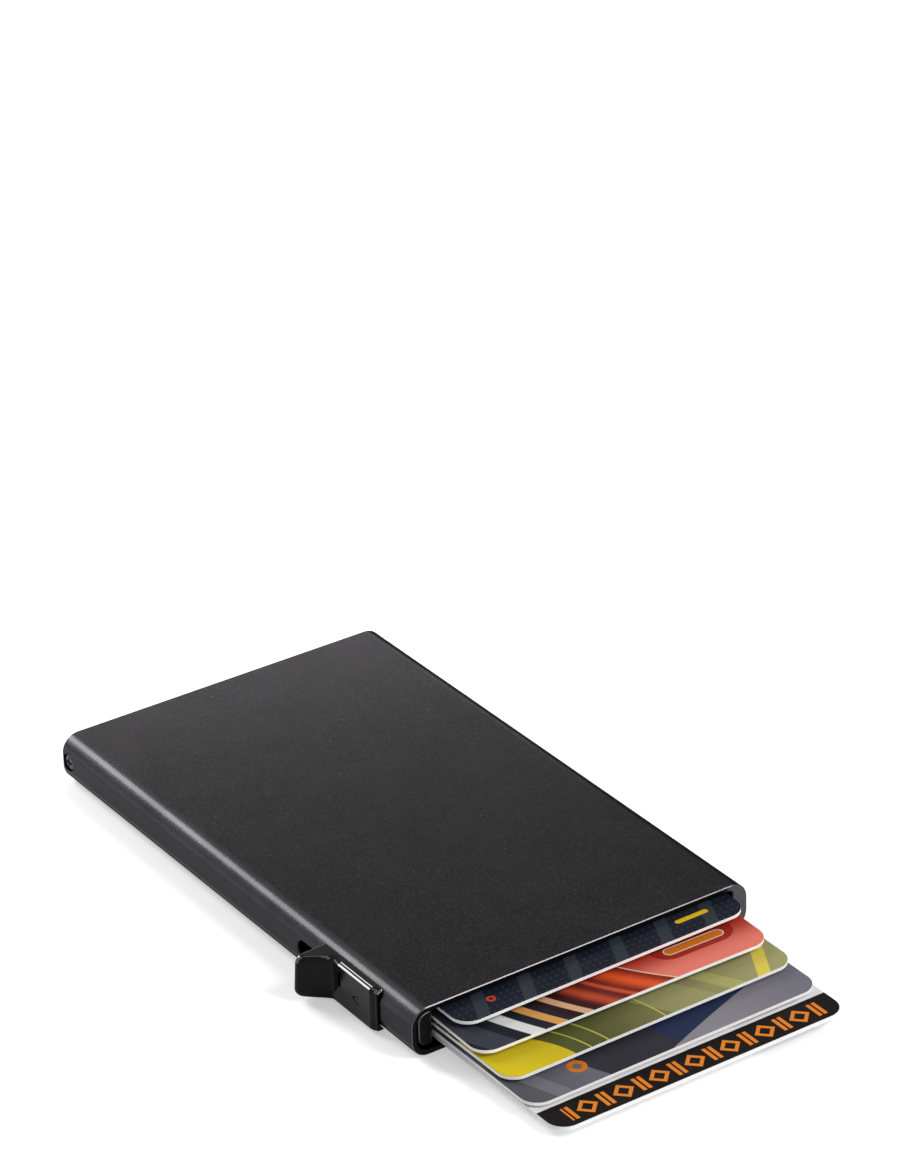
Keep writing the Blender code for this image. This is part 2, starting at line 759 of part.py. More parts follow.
def draw_bar(material, parent):
    tab_right = bay_left + BAR_TAB_ASIDE
    tab_front = drive_pin_y - BAR_TAB_REACH
    tab_rear = drive_pin_y + BAR_TAB_REACH
    front = carriage_front + BAR_FRONT_SETBACK
    plan = (
        (rail_left, front),
        (carriage_right, front),
        (carriage_right, tab_front),
        (tab_right, tab_front),
        (tab_right, tab_rear),
        (rail_left, tab_rear),
    )
    shape = bmesh.new()
    add_prism(shape, plan, bar_low, bar_high, "Z")
    bar = add_piece("draw_bar", shape, material, parent)
    holes = bmesh.new()
    pin_hole = circle((drive_pin_x, drive_pin_y), DRIVE_PIN_RADIUS + PIN_GAP, PIN_STEPS)
    rivet_hole = circle((rivet_x, rivet_y), RIVET_RADIUS + PIN_GAP / 2, PIN_STEPS)
    add_prism(holes, pin_hole, bar_low - OVERRUN, bar_high + OVERRUN, "Z")
    add_prism(holes, rivet_hole, bar_low - OVERRUN, bar_high + OVERRUN, "Z")
    shape_with(bar, "bar_holes_cutter", holes, "DIFFERENCE")


def upright_pin(name, material, parent, place, radius, high):
    """A plain pin that stands in the draw bar."""
    shape = bmesh.new()
    add_prism(shape, circle(place, radius, PIN_STEPS), bar_low, high, "Z")
    add_piece(name, shape, material, parent)


def return_spring(material, parent):
    start = groove_front + GAP + SPRING_WIRE
    end = carriage_front - GAP - SPRING_WIRE
    curve = bpy.data.curves.new("return_spring", "CURVE")
    curve.dimensions = "3D"
    curve.bevel_depth = SPRING_WIRE
    curve.bevel_resolution = 1
    curve.use_fill_caps = True
    line = curve.splines.new("POLY")
    total = SPRING_TURNS * SPRING_POINTS
    line.points.add(total)
    for i, point in enumerate(line.points):
        angle = 2 * math.pi * i / SPRING_POINTS
        x = rivet_x + SPRING_RADIUS * math.cos(angle)
        z = mid_height + SPRING_RADIUS * math.sin(angle)
        point.co = (x, start + (end - start) * i / total, z, 1)
    curve.materials.append(material)
    spring = bpy.data.objects.new("return_spring", curve)
    bpy.context.collection.objects.link(spring)
    spring.parent = parent
    spring.matrix_parent_inverse = Matrix.Translation(parent.location).inverted()


def grip_felt(material):
    shape = bmesh.new()
    inner = right_inner - FELT_PROUD
    front = mouth_y + FELT_FRONT
    add_box(
        shape,
        (inner, front, mid_height - FELT_HEIGHT / 2),
        (inner + FELT_THICKNESS, front + FELT_LENGTH, mid_height + FELT_HEIGHT / 2),
    )
    add_piece("grip_felt", shape, material)


def cards(materials):
    half_width = CARD_WIDTH / 2
    half_length = CARD_LENGTH / 2
    outline = rounded_outline(
        (-half_width, -half_length),
        (half_width, half_length),
        (CARD_CORNER,) * 4,
        CORNER_STEPS,
    )
    for place, bottom in enumerate(card_bottoms()):
        shape = bmesh.new()
        add_prism(shape, outline, 0, CARD_THICKNESS, "Z")
        x = bay_middle + CARDS_ASIDE[place]
        y = mouth_y - CARDS_OUT[place] + half_length
        turn = (0, 0, math.radians(CARDS_YAW_DEG[place]))
        name = "card_%d" % (place + 1)
        add_piece(name, shape, materials[place], location=(x, y, bottom), rotation=turn)


def main():
    for item in list(bpy.data.objects):
        bpy.data.objects.remove(item, do_unlink=True)
    anodised = make_material("anodised_black", (0.06, 0.06, 0.065), 0.42, 0.9)
    gloss = make_material("gloss_black_plastic", (0.015, 0.015, 0.016), 0.2, 0.0)
    matte = make_material("matte_black_plastic", (0.02, 0.02, 0.021), 0.5, 0.0)
    steel = make_material("steel", (0.45, 0.45, 0.46), 0.35, 1.0)
    dark_steel = make_material("blackened_steel", (0.05, 0.05, 0.05), 0.4, 0.9)
    felt = make_material("black_felt", (0.03, 0.03, 0.03), 0.95, 0.0)
    faces = (
        make_material("navy_card", (0.04, 0.05, 0.08), 0.35, 0.0),
        make_material("sunset_card", (0.55, 0.12, 0.08), 0.35, 0.0),
        make_material("olive_card", (0.22, 0.22, 0.06), 0.35, 0.0),
        make_material("grey_card", (0.16, 0.15, 0.18), 0.35, 0.0),
        make_material("white_card", (0.8, 0.8, 0.8), 0.35, 0.0),
    )

    case_tube(anodised)
    end_cap(matte)
    end_screws(dark_steel)
    pivot_pin(steel)
    slide_rail(matte)
    grip_felt(felt)
    stepped_lever(matte)

    travel = add_axis("slider_travel", (left_face, stem_middle, mid_height))
    thumb_slider(gloss, travel)
    slider_carriage(matte, travel)
    slider_screw(steel, travel)
    draw_bar(steel, travel)
    upright_pin("carriage_rivet", steel, travel, (rivet_x, rivet_y), RIVET_RADIUS, carriage_high)
    fork_top = mid_height + FORK_HEIGHT / 2
    upright_pin("drive_pin", steel, travel, (drive_pin_x, drive_pin_y), DRIVE_PIN_RADIUS, fork_top + GAP)
    return_spring(steel, travel)
    cards(faces)
    settle_shapes()


main()
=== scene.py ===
"""Looks of the card holder: finer skins for the pieces, printed cards, floor, lights and camera."""

import math
import random

import bmesh
import bpy
from mathutils import Matrix, Vector


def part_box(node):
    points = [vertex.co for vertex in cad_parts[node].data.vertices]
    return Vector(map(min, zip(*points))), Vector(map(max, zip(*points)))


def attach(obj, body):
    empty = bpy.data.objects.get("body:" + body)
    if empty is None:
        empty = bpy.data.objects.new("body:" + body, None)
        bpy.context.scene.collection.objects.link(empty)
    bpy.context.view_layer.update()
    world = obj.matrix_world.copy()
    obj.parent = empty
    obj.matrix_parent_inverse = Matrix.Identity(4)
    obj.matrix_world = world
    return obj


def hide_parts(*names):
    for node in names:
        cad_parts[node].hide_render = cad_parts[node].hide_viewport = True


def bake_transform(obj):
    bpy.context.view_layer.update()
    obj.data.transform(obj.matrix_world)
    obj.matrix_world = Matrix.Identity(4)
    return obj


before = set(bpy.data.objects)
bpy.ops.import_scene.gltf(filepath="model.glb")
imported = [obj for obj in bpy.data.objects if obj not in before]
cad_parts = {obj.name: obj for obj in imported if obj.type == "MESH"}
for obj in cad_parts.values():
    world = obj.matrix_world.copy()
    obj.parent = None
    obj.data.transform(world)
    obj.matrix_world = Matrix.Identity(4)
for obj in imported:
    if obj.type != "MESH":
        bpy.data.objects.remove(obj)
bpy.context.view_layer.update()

MM = 0.001

# Clearance and cutter overrun
GAP = 0.0003
OVERRUN = 0.001

# Tube
WALL = 0.00095
RIGHT_WALL = 0.00275
TUBE_CORNER = 0.0031
INNER_CORNER = 0.0006
MOUTH_CHAMFER = 0.00014
REAR_CHAMFER = 0.00018
INNER_CHAMFER = 0.00012
EDGE_SOFTENING = 0.00004
SLOT_REAR = 0.03146
SLOT_FRONT = 0.01786
SLOT_HEIGHT = 0.0033
SLOT_CHAMFER = 0.00015
SEAT_CHAMFER = 0.0001
SCREW_FROM_REAR = 0.0017
FELT_FRONT = 0.0038
FELT_REAR = 0.0242
FELT_DEPTH = 0.00075
FELT_HALF_HEIGHT = 0.00185
CHAMFER_FACING = 0.3
END_FACING = 0.9
OUTWARD_LEAST = 1e-6

# Thumb slider: places along it are taken from the mouth, and reach is taken out from the tube's side
SLIDER_FRONT = 0.0088
SLIDER_REAR = 0.0249
PLATE_OUT = 0.00078
NOSE_DROP = 0.00036
NOSE_END = 0.0102
NOSE_BREAK = 0.0001
PLATE_END = 0.0189
RAMP_START = 0.0204
RAMP_END = 0.0239
RAMP_SHARE = 0.95
RAMP_POWER = 1.4
RAMP_ROWS = 16
LIP_OUT = 0.0051
LIP_TIP = ((0.02402, 0.00498), (0.02416, 0.00505), (0.02432, 0.00509), (0.0246, 0.0051))
LIP_REAR_LEAN = 0.0003
LIP_TILT = 16.0
LIP_LOW_CORNER = 0.0017
LIP_HIGH_CORNER = 0.0012
PLATE_LOW_CORNER = 0.0002
BEVEL_SLACK = 0.00001
FACET_SLACK = 0.04
TIP_SHARE = 0.8
BEAD_FACING = (0.35, 0.9)
CROWN_FACING = (0.25, 0.93)
CROWN_LEAST_Y = -0.5
BEVEL_RUN = 0.00073
BEVEL_DROP = 0.0003
BEVEL_LOW_FILLET = 0.00006
BEVEL_FACET_DEG = 33.0
BEVEL_LOW_FACET = 0.00034
BEVEL_HIGH_FACET = 0.00014
BEVEL_STEPS = 5
NOSE_ROUNDNESS = 0.6
BEND_ROUNDNESS = 0.35
RAMP_ROUNDNESS = 0.6
BEAD_DROP_SHARE = 0.55
NOSE_END_DROP_SHARE = 0.08
NOSE_STEPS = 8
REAR_STEPS = 5
FRONT_FILLET = 0.00018
NOSE_ROUND = 0.0005
REAR_FILLET = 0.0003
HUG_TIP = 0.00012
HUG_GAP = 0.00012
HUG_MARGIN = 0.00002
NOSE_BEAD = 0.0007
STEM_LENGTH = 0.004
CHEVRON_TIP = 0.01515
CHEVRON_LENGTH = 0.0016
CHEVRON_RISE = 0.0008
CHEVRON_STROKE = 0.00032
CHEVRON_STRETCH = 1.6
CHEVRON_Z_SHIFT = -0.0003
ENGRAVING_DEPTH = 0.0002
RECESS_PLACE = 0.01855
RECESS_WIDTH = 0.00065
RECESS_HEIGHT = 0.0027
RECESS_RISE = 0.0009
RECESS_DEPTH = 0.00045

# Slide rail and end cap
RAIL_ROUND = 0.0016
RAIL_EDGE = 0.00025
RAIL_WEB = 0.0008
RAIL_FLANGE = 0.0007
RAIL_PLUG = 0.0027
RAIL_FILLET = 0.00018
RAIL_NOSE_INSET = 0.0004
RAIL_NOSE_DEPTH = 0.00035
RAIL_NOSE_STEPS = 7
RAIL_RIM_SHARE = 0.8
RAIL_RIM_FACING = -0.97
CAP_FILLET = 0.0002 / 3
CAP_RECESS = 0.00015
CAP_RECESS_MARGIN = 0.0009

# Screws
SCREW_HEAD = 0.00125
SCREW_DOME = 0.00012
SCREW_DOME_SHAPE = ((0.55, 1.0), (0.85, 0.6), (1.0, 0.0))
SCREW_TIP_SHARE = 0.6
SCREW_RIM = 0.0002
SCREW_CONE = 0.0006
SCREW_SHANK = 0.0006
SCREW_CROSS = 0.0009
SCREW_CROSS_WIDTH = 0.0004
SCREW_CROSS_DEPTH = 0.0006
SCREW_CROSS_SHAPE = ((-SCREW_CROSS_DEPTH, 0.7, 0.7), (OVERRUN / 2, 1.15, 1.2))
SCREW_CROSS_MARGIN = 1.1
THREAD_PITCH = 0.0004
THREAD_DEPTH = 0.00008

# Return spring
SPRING_RADIUS = 0.0006
SPRING_WIRE = 0.00014
SPRING_TURNS = 14

# Felt strip
FELT_PILE = 0.00008
FELT_GRID = (60, 12)
FELT_SEED = 7

# Cards
CARD_LENGTH = 0.0856
CARD_WIDTH = 0.05398
CARD_CORNER = 0.00318
CARD_RIM = 0.00009
CARD_RIM_SHARES = (0.0, 0.3, 1.0)
UNDERSIDE_FACING = -0.99
PRINT_WRAP = 0.00005
CARDS_YAW_DEG = (0.3, -0.75, 0.5, 0.35, 0.2)

# Facets
CORNER_STEPS = 24
CARD_STEPS = 20
SMALL_STEPS = 8
CIRCLE_STEPS = 48
SPRING_STEPS = 24
SMOOTH_DEG = 30.0
TUBE_SMOOTH_DEG = 24.0
SLIDER_SMOOTH_DEG = 35.0
FELT_SMOOTH_DEG = 50.0
CARD_SMOOTH_DEG = 20.0
ROUNDING_DEG = 40.0
INNER_ROUNDING = 0.00005
MERGE_REACH = 1e-7
WELD_REACH = 1e-6

# Camera, worked out from the edges of the cards and of the tube in the photograph
CAMERA_PLACE = (-0.346732, -0.536896, 0.389984)
CAMERA_TURN_DEG = (61.82590, 1.42908, -34.51634)
CAMERA_LENS = 141.83
CAMERA_SENSOR = 36.0
CAMERA_CLIP = (0.01, 50.0)

tube_low, tube_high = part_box("case_tube")
left_face = tube_low.x
right_face = tube_high.x
mouth_y = tube_low.y
rear_y = tube_high.y
tube_height = tube_high.z
mid_height = tube_height / 2
left_inner = left_face + WALL
right_inner = right_face - RIGHT_WALL
inner_floor = WALL
inner_ceiling = tube_height - WALL


# Outlines

def arc(centre, radius, start_deg, end_deg, steps):
    """Points on an arc, both ends included."""
    points = []
    for step in range(steps + 1):
        angle = math.radians(start_deg + (end_deg - start_deg) * step / steps)
        points.append((centre[0] + radius * math.cos(angle), centre[1] + radius * math.sin(angle)))
    return points


def rounded_outline(low, high, radii, steps):
    """A rectangle with its own radius at each corner, always with the same number of points."""
    corners = (
        (high[0], high[1], -1, -1),
        (low[0], high[1], 1, -1),
        (low[0], low[1], 1, 1),
        (high[0], low[1], -1, 1),
    )
    points = []
    for place, (a, b, inward_a, inward_b) in enumerate(corners):
        radius = radii[place]
        centre = (a + inward_a * radius, b + inward_b * radius)
        points += arc(centre, radius, 90 * place, 90 * place + 90, steps)
    return points


def loop_at(outline, height, axis):
    """An outline's points at a height along the axis that it is drawn across."""
    place = "XYZ".index(axis)
    return [(*point[:place], height, *point[place:]) for point in outline]


# Meshes

def join_loops(shape, loops, closed):
    """Side faces between loops of equal length. Closed joins the last to the first, open caps the ends."""
    rings = [[shape.verts.new(point) for point in loop] for loop in loops]
    pairs = list(zip(rings, rings[1:]))
    if closed:
        pairs.append((rings[-1], rings[0]))
    for lower, upper in pairs:
        count = len(lower)
        for i in range(count):
            j = (i + 1) % count
            shape.faces.new((lower[i], lower[j], upper[j], upper[i]))
    if not closed:
        shape.faces.new(rings[0])
        shape.faces.new(rings[-1])


def add_prism(shape, outline, low, high, axis):
    """A straight solid on an outline, from low to high along the axis."""
    loops = [loop_at(outline, height, axis) for height in (low, high)]
    join_loops(shape, loops, closed=False)


def add_turned(shape, profile, steps):
    """A profile of radius and height turned about Z, with flat ends."""
    rings = [(arc((0, 0), radius, 0, 360, steps)[:-1], height) for radius, height in profile]
    join_loops(shape, [loop_at(ring, height, "Z") for ring, height in rings], closed=False)


def link(name, data):
    """A new object in the scene."""
    item = bpy.data.objects.new(name, data)
    bpy.context.scene.collection.objects.link(item)
    return item


def add_object(name, shape, location=(0, 0, 0), rotation=(0, 0, 0)):
    """A linked object made from a bmesh, with its faces turned out."""
    bmesh.ops.remove_doubles(shape, verts=shape.verts, dist=MERGE_REACH)
    bmesh.ops.recalc_face_normals(shape, faces=shape.faces)
    mesh = bpy.data.meshes.new(name)
    shape.to_mesh(mesh)
    shape.free()
    item = link(name, mesh)
    item.location = location
    item.rotation_euler = rotation
    return item


def apply_boolean(item, shape, operation="DIFFERENCE"):
    """Cuts, joins or limits an object with a helper shape given in the object's own frame."""
    helper = add_object("helper", shape)
    bpy.context.view_layer.update()
    helper.matrix_world = item.matrix_world
    change = item.modifiers.new("change", "BOOLEAN")
    change.operation = operation
    change.solver = "EXACT"
    change.object = helper
    settle(item)
    bpy.data.objects.remove(helper, do_unlink=True)


def apply_prism(item, outline, low, high, axis, operation="DIFFERENCE"):
    """Cuts, joins or limits an object with a straight solid."""
    shape = bmesh.new()
    add_prism(shape, outline, low, high, axis)
    apply_boolean(item, shape, operation)


def cut_box(item, low, high):
    """Cuts a box between two corners out of an object."""
    outline = ((high[0], high[1]), (low[0], high[1]), (low[0], low[1]), (high[0], low[1]))
    apply_prism(item, outline, low[2], high[2], "Z")


def settle(item):
    """Turns an object's modifiers into its mesh."""
    bpy.context.view_layer.update()
    state = bpy.context.evaluated_depsgraph_get()
    result = item.evaluated_get(state)
    mesh = bpy.data.meshes.new_from_object(result, preserve_all_data_layers=True, depsgraph=state)
    mesh.name = item.name
    item.modifiers.clear()
    item.data = mesh


def smooth(item, angle_deg=SMOOTH_DEG):
    """Smooth shading that large flat faces don't take part in."""
    item.data.shade_smooth()
    item.data.set_sharp_from_angle(angle=math.radians(angle_deg))
    weighting = item.modifiers.new("weighting", "WEIGHTED_NORMAL")
    weighting.keep_sharp = True


def add_weld(item):
    """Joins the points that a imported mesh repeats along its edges."""
    item.modifiers.new("weld", "WELD").merge_threshold = WELD_REACH


def add_rounding(item, width, segments):
    """Rounds an object's sharp edges and keeps its flat faces looking flat."""
    rounding = item.modifiers.new("rounding", "BEVEL")
    rounding.width = width
    rounding.segments = segments
    rounding.limit_method = "ANGLE"
    rounding.angle_limit = math.radians(ROUNDING_DEG)
    rounding.harden_normals = True


def dress(item, body, slot, *materials):
    """Gives a new piece its materials and its body. The slot is not used."""
    for material in materials:
        item.data.materials.append(material)
    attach(item, body)
    return item


# Materials

NOISE_SPAN = (0.3, 0.7)


def srgb(code):
    """A linear colour from a six-digit code."""
    parts = [int(code[i:i + 2], 16) / 255 for i in (0, 2, 4)]
    linear = [p / 12.92 if p <= 0.04045 else ((p + 0.055) / 1.055) ** 2.4 for p in parts]
    return (*linear, 1)


class Graph:
    """The nodes of a material or the world, built by short calls. An input is a socket or a plain value."""

    def __init__(self, name, library=bpy.data.materials):
        self.owner = library.new(name)
        self.owner.use_nodes = True
        self.tree = self.owner.node_tree
        self.shader = self.tree.nodes.get("Principled BSDF")

    def feed(self, socket, value):
        if isinstance(value, bpy.types.NodeSocket):
            self.tree.links.new(value, socket)
        else:
            socket.default_value = value

    def node(self, kind, inputs, **settings):
        node = self.tree.nodes.new("ShaderNode" + kind)
        for name, value in settings.items():
            setattr(node, name, value)
        for name, value in inputs.items():
            self.feed(node.inputs[name], value)
        return node

    def set(self, **inputs):
        """Sets the shader's inputs. An underscore in a name stands for a space."""
        for name, value in inputs.items():
            self.feed(self.shader.inputs[name.replace("_", " ")], value)

    def math(self, operation, *values):
        return self.node("Math", dict(enumerate(values)), operation=operation).outputs[0]

    def place(self):
        """The object's own coordinates as a vector, in millimetres."""
        here = self.node("TexCoord", {}).outputs["Object"]
        return self.node("VectorMath", {0: here, "Scale": 1 / MM}, operation="SCALE").outputs[0]

    def parts(self, vector):
        return self.node("SeparateXYZ", {0: vector}).outputs

    def noise(self, vector, size_mm, detail=3.0, roughness=0.5):
        """Noise from 0 to 1 whose features are about size_mm across."""
        inputs = {"Vector": vector, "Scale": 1 / size_mm, "Detail": detail, "Roughness": roughness}
        return self.node("TexNoise", inputs).outputs[0]

    def spread(self, value, low, high, to_low=0.0, to_high=1.0, kind="SMOOTHSTEP"):
        """Value from low to high mapped to the range from to_low to to_high."""
        inputs = {"Value": value, "From Min": low, "From Max": high, "To Min": to_low, "To Max": to_high}
        return self.node("MapRange", inputs, interpolation_type=kind).outputs[0]

    def above(self, value, limit, soft=0.03):
        return self.spread(value, limit - soft, limit + soft)

    def below(self, value, limit, soft=0.03):
        return self.spread(value, limit - soft, limit + soft, 1.0, 0.0)

    def band(self, value, low, high, soft=0.03):
        return self.math("MULTIPLY", self.above(value, low, soft), self.below(value, high, soft))

    def both(self, *masks):
        result = masks[0]
        for mask in masks[1:]:
            result = self.math("MULTIPLY", result, mask)
        return result

    def either(self, *masks):
        result = masks[0]
        for mask in masks[1:]:
            result = self.math("MAXIMUM", result, mask)
        return result

    def paint(self, under, mask, colour, strength=1.0):
        """The colour laid over what is under it, where the mask is 1. A colour is a socket or a code."""
        if strength != 1.0:
            mask = self.math("MULTIPLY", mask, strength)
        under, colour = (srgb(item) if isinstance(item, str) else item for item in (under, colour))
        return self.node("Mix", {0: mask, 6: under, 7: colour}, data_type="RGBA").outputs[2]

    def lay(self, mask, colour, strength=1.0):
        """Paints over the print made so far."""
        self.print = self.paint(self.print, mask, colour, strength)

    def slant(self, x, y, degrees):
        """A coordinate across lines that lean by some degrees from the card's length."""
        return self.math("MULTIPLY_ADD", y, math.tan(math.radians(degrees)), x)

    def offset(self, value, middle):
        """How far a value is from a middle, either way."""
        return self.math("ABSOLUTE", self.math("SUBTRACT", value, middle))

    def hypot(self, a, b):
        return self.math("SQRT", self.math("MULTIPLY_ADD", a, a, self.math("MULTIPLY", b, b)))

    def distance(self, x, y, centre):
        return self.hypot(self.math("SUBTRACT", x, centre[0]), self.math("SUBTRACT", y, centre[1]))

    def box_distance(self, x, y, centre, half, radius):
        """Signed distance to a rectangle with round corners."""
        across = self.math("SUBTRACT", self.offset(x, centre[0]), half[0] - radius)
        along = self.math("SUBTRACT", self.offset(y, centre[1]), half[1] - radius)
        outside = self.hypot(self.math("MAXIMUM", across, 0.0), self.math("MAXIMUM", along, 0.0))
        return self.math("SUBTRACT", outside, radius)

    def stretched(self, vector, scale, turn=0.0):
        """A vector scaled along each axis, for lines and fibres, and turned about Z."""
        inputs = {"Vector": vector, "Rotation": (0, 0, turn), "Scale": scale}
        return self.node("Mapping", inputs).outputs[0]

    def shade(self, noise, dark, light):
        """Two colours mixed by noise."""
        return self.paint(dark, self.spread(noise, *NOISE_SPAN), light)

    def rough(self, noise, low, high):
        """Roughness that follows noise."""
        return self.spread(noise, *NOISE_SPAN, low, high, "LINEAR")

    def seen_directly(self):
        """1 for rays from the camera or by reflection or transmission."""
        rays = self.node("LightPath", {}).outputs
        return self.either(*(rays["Is %s Ray" % kind] for kind in ("Camera", "Glossy", "Transmission")))

    def bump(self, height, distance_mm):
        inputs = {"Height": height, "Distance": distance_mm * MM, "Strength": 1.0}
        return self.node("Bump", inputs).outputs[0]


def anodised_material():
    """Black anodised aluminium, blasted to a fine grain and a little smoother on the long round edges,
    which carry a painted highlight that is strongest on the left; its flat sides are painted lighter than
    its top, and its lower and right-hand round edges have a painted darker reflection.
    """
    g = Graph("anodised_black")
    here = g.place()
    x, _, z = g.parts(here)
    grain = g.noise(here, 0.3, 2.0, 0.6)
    cloud = g.noise(here, 9.0, 3.0, 0.55)
    speck = g.spread(g.noise(here, 0.7, 1.0, 0.4), 0.76, 0.82)
    corner = TUBE_CORNER / MM
    side = right_face / MM
    aside = g.math("SUBTRACT", g.math("ABSOLUTE", x), side - corner)
    upright = g.math("SUBTRACT", g.offset(z, mid_height / MM), mid_height / MM - corner)
    bend_aside = g.spread(aside, -corner * 0.05, corner * 0.25)
    bend_upright = g.spread(upright, corner * 0.05, corner * 0.4)
    # painted_sheen: a lighter tone painted on the long round edges as a highlight, strongest on the left,
    # which also makes those edges slightly smoother
    painted_sheen = g.both(bend_aside, bend_upright, g.spread(x, -side / 2, side / 2, 1.0, 0.15))
    # painted_lit_sides: the flat sides are painted a lighter grey than the top, as painted light
    painted_lit_sides = g.above(aside, corner * 0.97, corner * 0.03)
    colour = g.shade(cloud, "161416", "1b191b")
    colour = g.paint(colour, painted_lit_sides, "2a2a2d")
    colour = g.paint(colour, painted_sheen, g.shade(cloud, "363638", "3e3e40"))
    colour = g.paint(colour, g.spread(grain, 0.45, 0.8, 0.0, 0.35), "4a484a")
    colour = g.paint(colour, speck, "6a696b", 0.4)
    # Painted shade in the reflection: the reflection tint is lowered on the lower round edges and on the
    # right-hand round edge, so they reflect darker
    lower_edge_reflection_shade = g.spread(z, corner * 0.45, corner * 0.8, 0.0, 0.75)
    right_edge_reflection_shade = g.spread(x, side - corner, side - corner * 0.5, 0.7, 0.25, "LINEAR")
    flat_rough = g.rough(grain, 0.28, 0.36)
    g.set(Base_Color=colour, Metallic=1.0, Specular_Tint=g.math("MINIMUM", lower_edge_reflection_shade, right_edge_reflection_shade))
    scuffed = g.math("MULTIPLY_ADD", g.spread(z, corner * 0.45, corner * 0.8, 1.0, 0.0), 0.35, flat_rough)
    g.set(Roughness=g.math("MULTIPLY_ADD", painted_sheen, -0.05, scuffed))
    g.set(Normal=g.bump(grain, 0.012))
    return g.owner


def polished_material():
    """The cut edge round the mouth: anodised as dark as the tube, but smooth."""
    g = Graph("polished_black_edge")
    here = g.place()
    fine = g.noise(here, 0.3, 2.0)
    g.set(Base_Color=g.shade(fine, "4a494b", "585759"), Metallic=1.0)
    g.set(Roughness=g.rough(fine, 0.2, 0.28), Specular_Tint=(0.4, 0.4, 0.4, 1))
    return g.owner


def inner_material():
    """The tube's rim and inside: dark, with faint drawing lines, and with the thick right wall's end
    painted a lighter grey as a painted reflection.
    """
    g = Graph("anodised_inside")
    here = g.place()
    x, y, _ = g.parts(here)
    wall = right_inner / MM
    # Mask of the thick right wall's end face, where a painted reflection goes
    rim = g.both(g.spread(x, wall - 1.6, wall - 0.2), g.below(y, mouth_y / MM + 0.2, 0.1))
    lines = g.noise(g.stretched(here, (1, 0.02, 1)), 0.2, 2.0)
    dark = g.shade(lines, "19191b", "212123")
    # The lighter grey of that painted reflection
    painted_sheen = g.shade(lines, "4a494b", "545355")
    g.set(Base_Color=g.paint(dark, rim, painted_sheen), Metallic=1.0)
    g.set(Roughness=g.rough(lines, 0.4, 0.52), Specular_Tint=(0.3, 0.3, 0.3, 1))
    g.set(Normal=g.bump(lines, 0.006))
    return g.owner


def plastic_material(name, dark, light, rough, grain_mm, bump_mm, level):
    """Moulded plastic with a faint skin texture. Rough is its lowest and highest roughness."""
    g = Graph(name)
    here = g.place()
    skin = g.noise(here, grain_mm, 3.0)
    cloud = g.noise(here, grain_mm * 12, 2.0)
    g.set(Base_Color=g.paint(dark, g.spread(cloud, 0.35, 0.65), light))
    g.set(Roughness=g.rough(skin, *rough), Specular_IOR_Level=level)
    g.set(Normal=g.bump(skin, bump_mm))
    return g.owner


def steel_material(name, dark, light, rough):
    """Steel with fine drawing lines along Y. Rough is its lowest and highest roughness."""
    g = Graph(name)
    here = g.place()
    lines = g.noise(g.stretched(here, (1, 0.04, 1)), 0.06, 3.0)
    g.set(Base_Color=g.shade(lines, dark, light), Metallic=1.0)
    g.set(Roughness=g.rough(lines, *rough))
    g.set(Normal=g.bump(lines, 0.003))
    return g.owner


def felt_material():
    """Black felt with grey fibres along Y."""
    g = Graph("black_felt")
    here = g.place()
    fibre = g.noise(g.stretched(here, (1, 0.5, 1)), 0.09, 5.0, 0.7)
    g.set(Base_Color=g.shade(fibre, "0f0f10", "2c2c2e"), Roughness=0.95)
    g.set(Sheen_Weight=0.4, Sheen_Roughness=0.5, Normal=g.bump(fibre, 0.12))
    return g.owner


# Card prints, in millimetres from the card's middle; the front edge is at the lowest y

HALF_WIDTH = CARD_WIDTH / 2 / MM
HALF_LENGTH = CARD_LENGTH / 2 / MM
FRONT = -HALF_LENGTH


def navy_print(g, x, y):
    """Navy with soft leaning bands, a dot grid, a short yellow bar and a small red ring."""
    g.print = g.paint("1b202b", g.spread(y, FRONT, HALF_LENGTH), "26334a")
    place = g.math("PINGPONG", g.math("ADD", g.slant(x, y, -24), 4.0), 4.3)
    g.lay(g.below(place, 1.15, 0.12), "3a4048", 0.75)
    cell = [g.math("PINGPONG", value, 1.2) for value in (x, y)]
    g.lay(g.below(g.distance(*cell, (0.6, 0.6)), 0.24, 0.06), "39424f", 0.5)
    bar = g.below(g.box_distance(x, y, (18.5, FRONT + 3.6), (3.1, 0.5), 0.5), 0.0)
    g.lay(bar, "e8c11f")
    ring = g.below(g.offset(g.distance(x, y, (-19.5, FRONT + 3.4)), 0.55), 0.22)
    g.lay(ring, "c8452c")


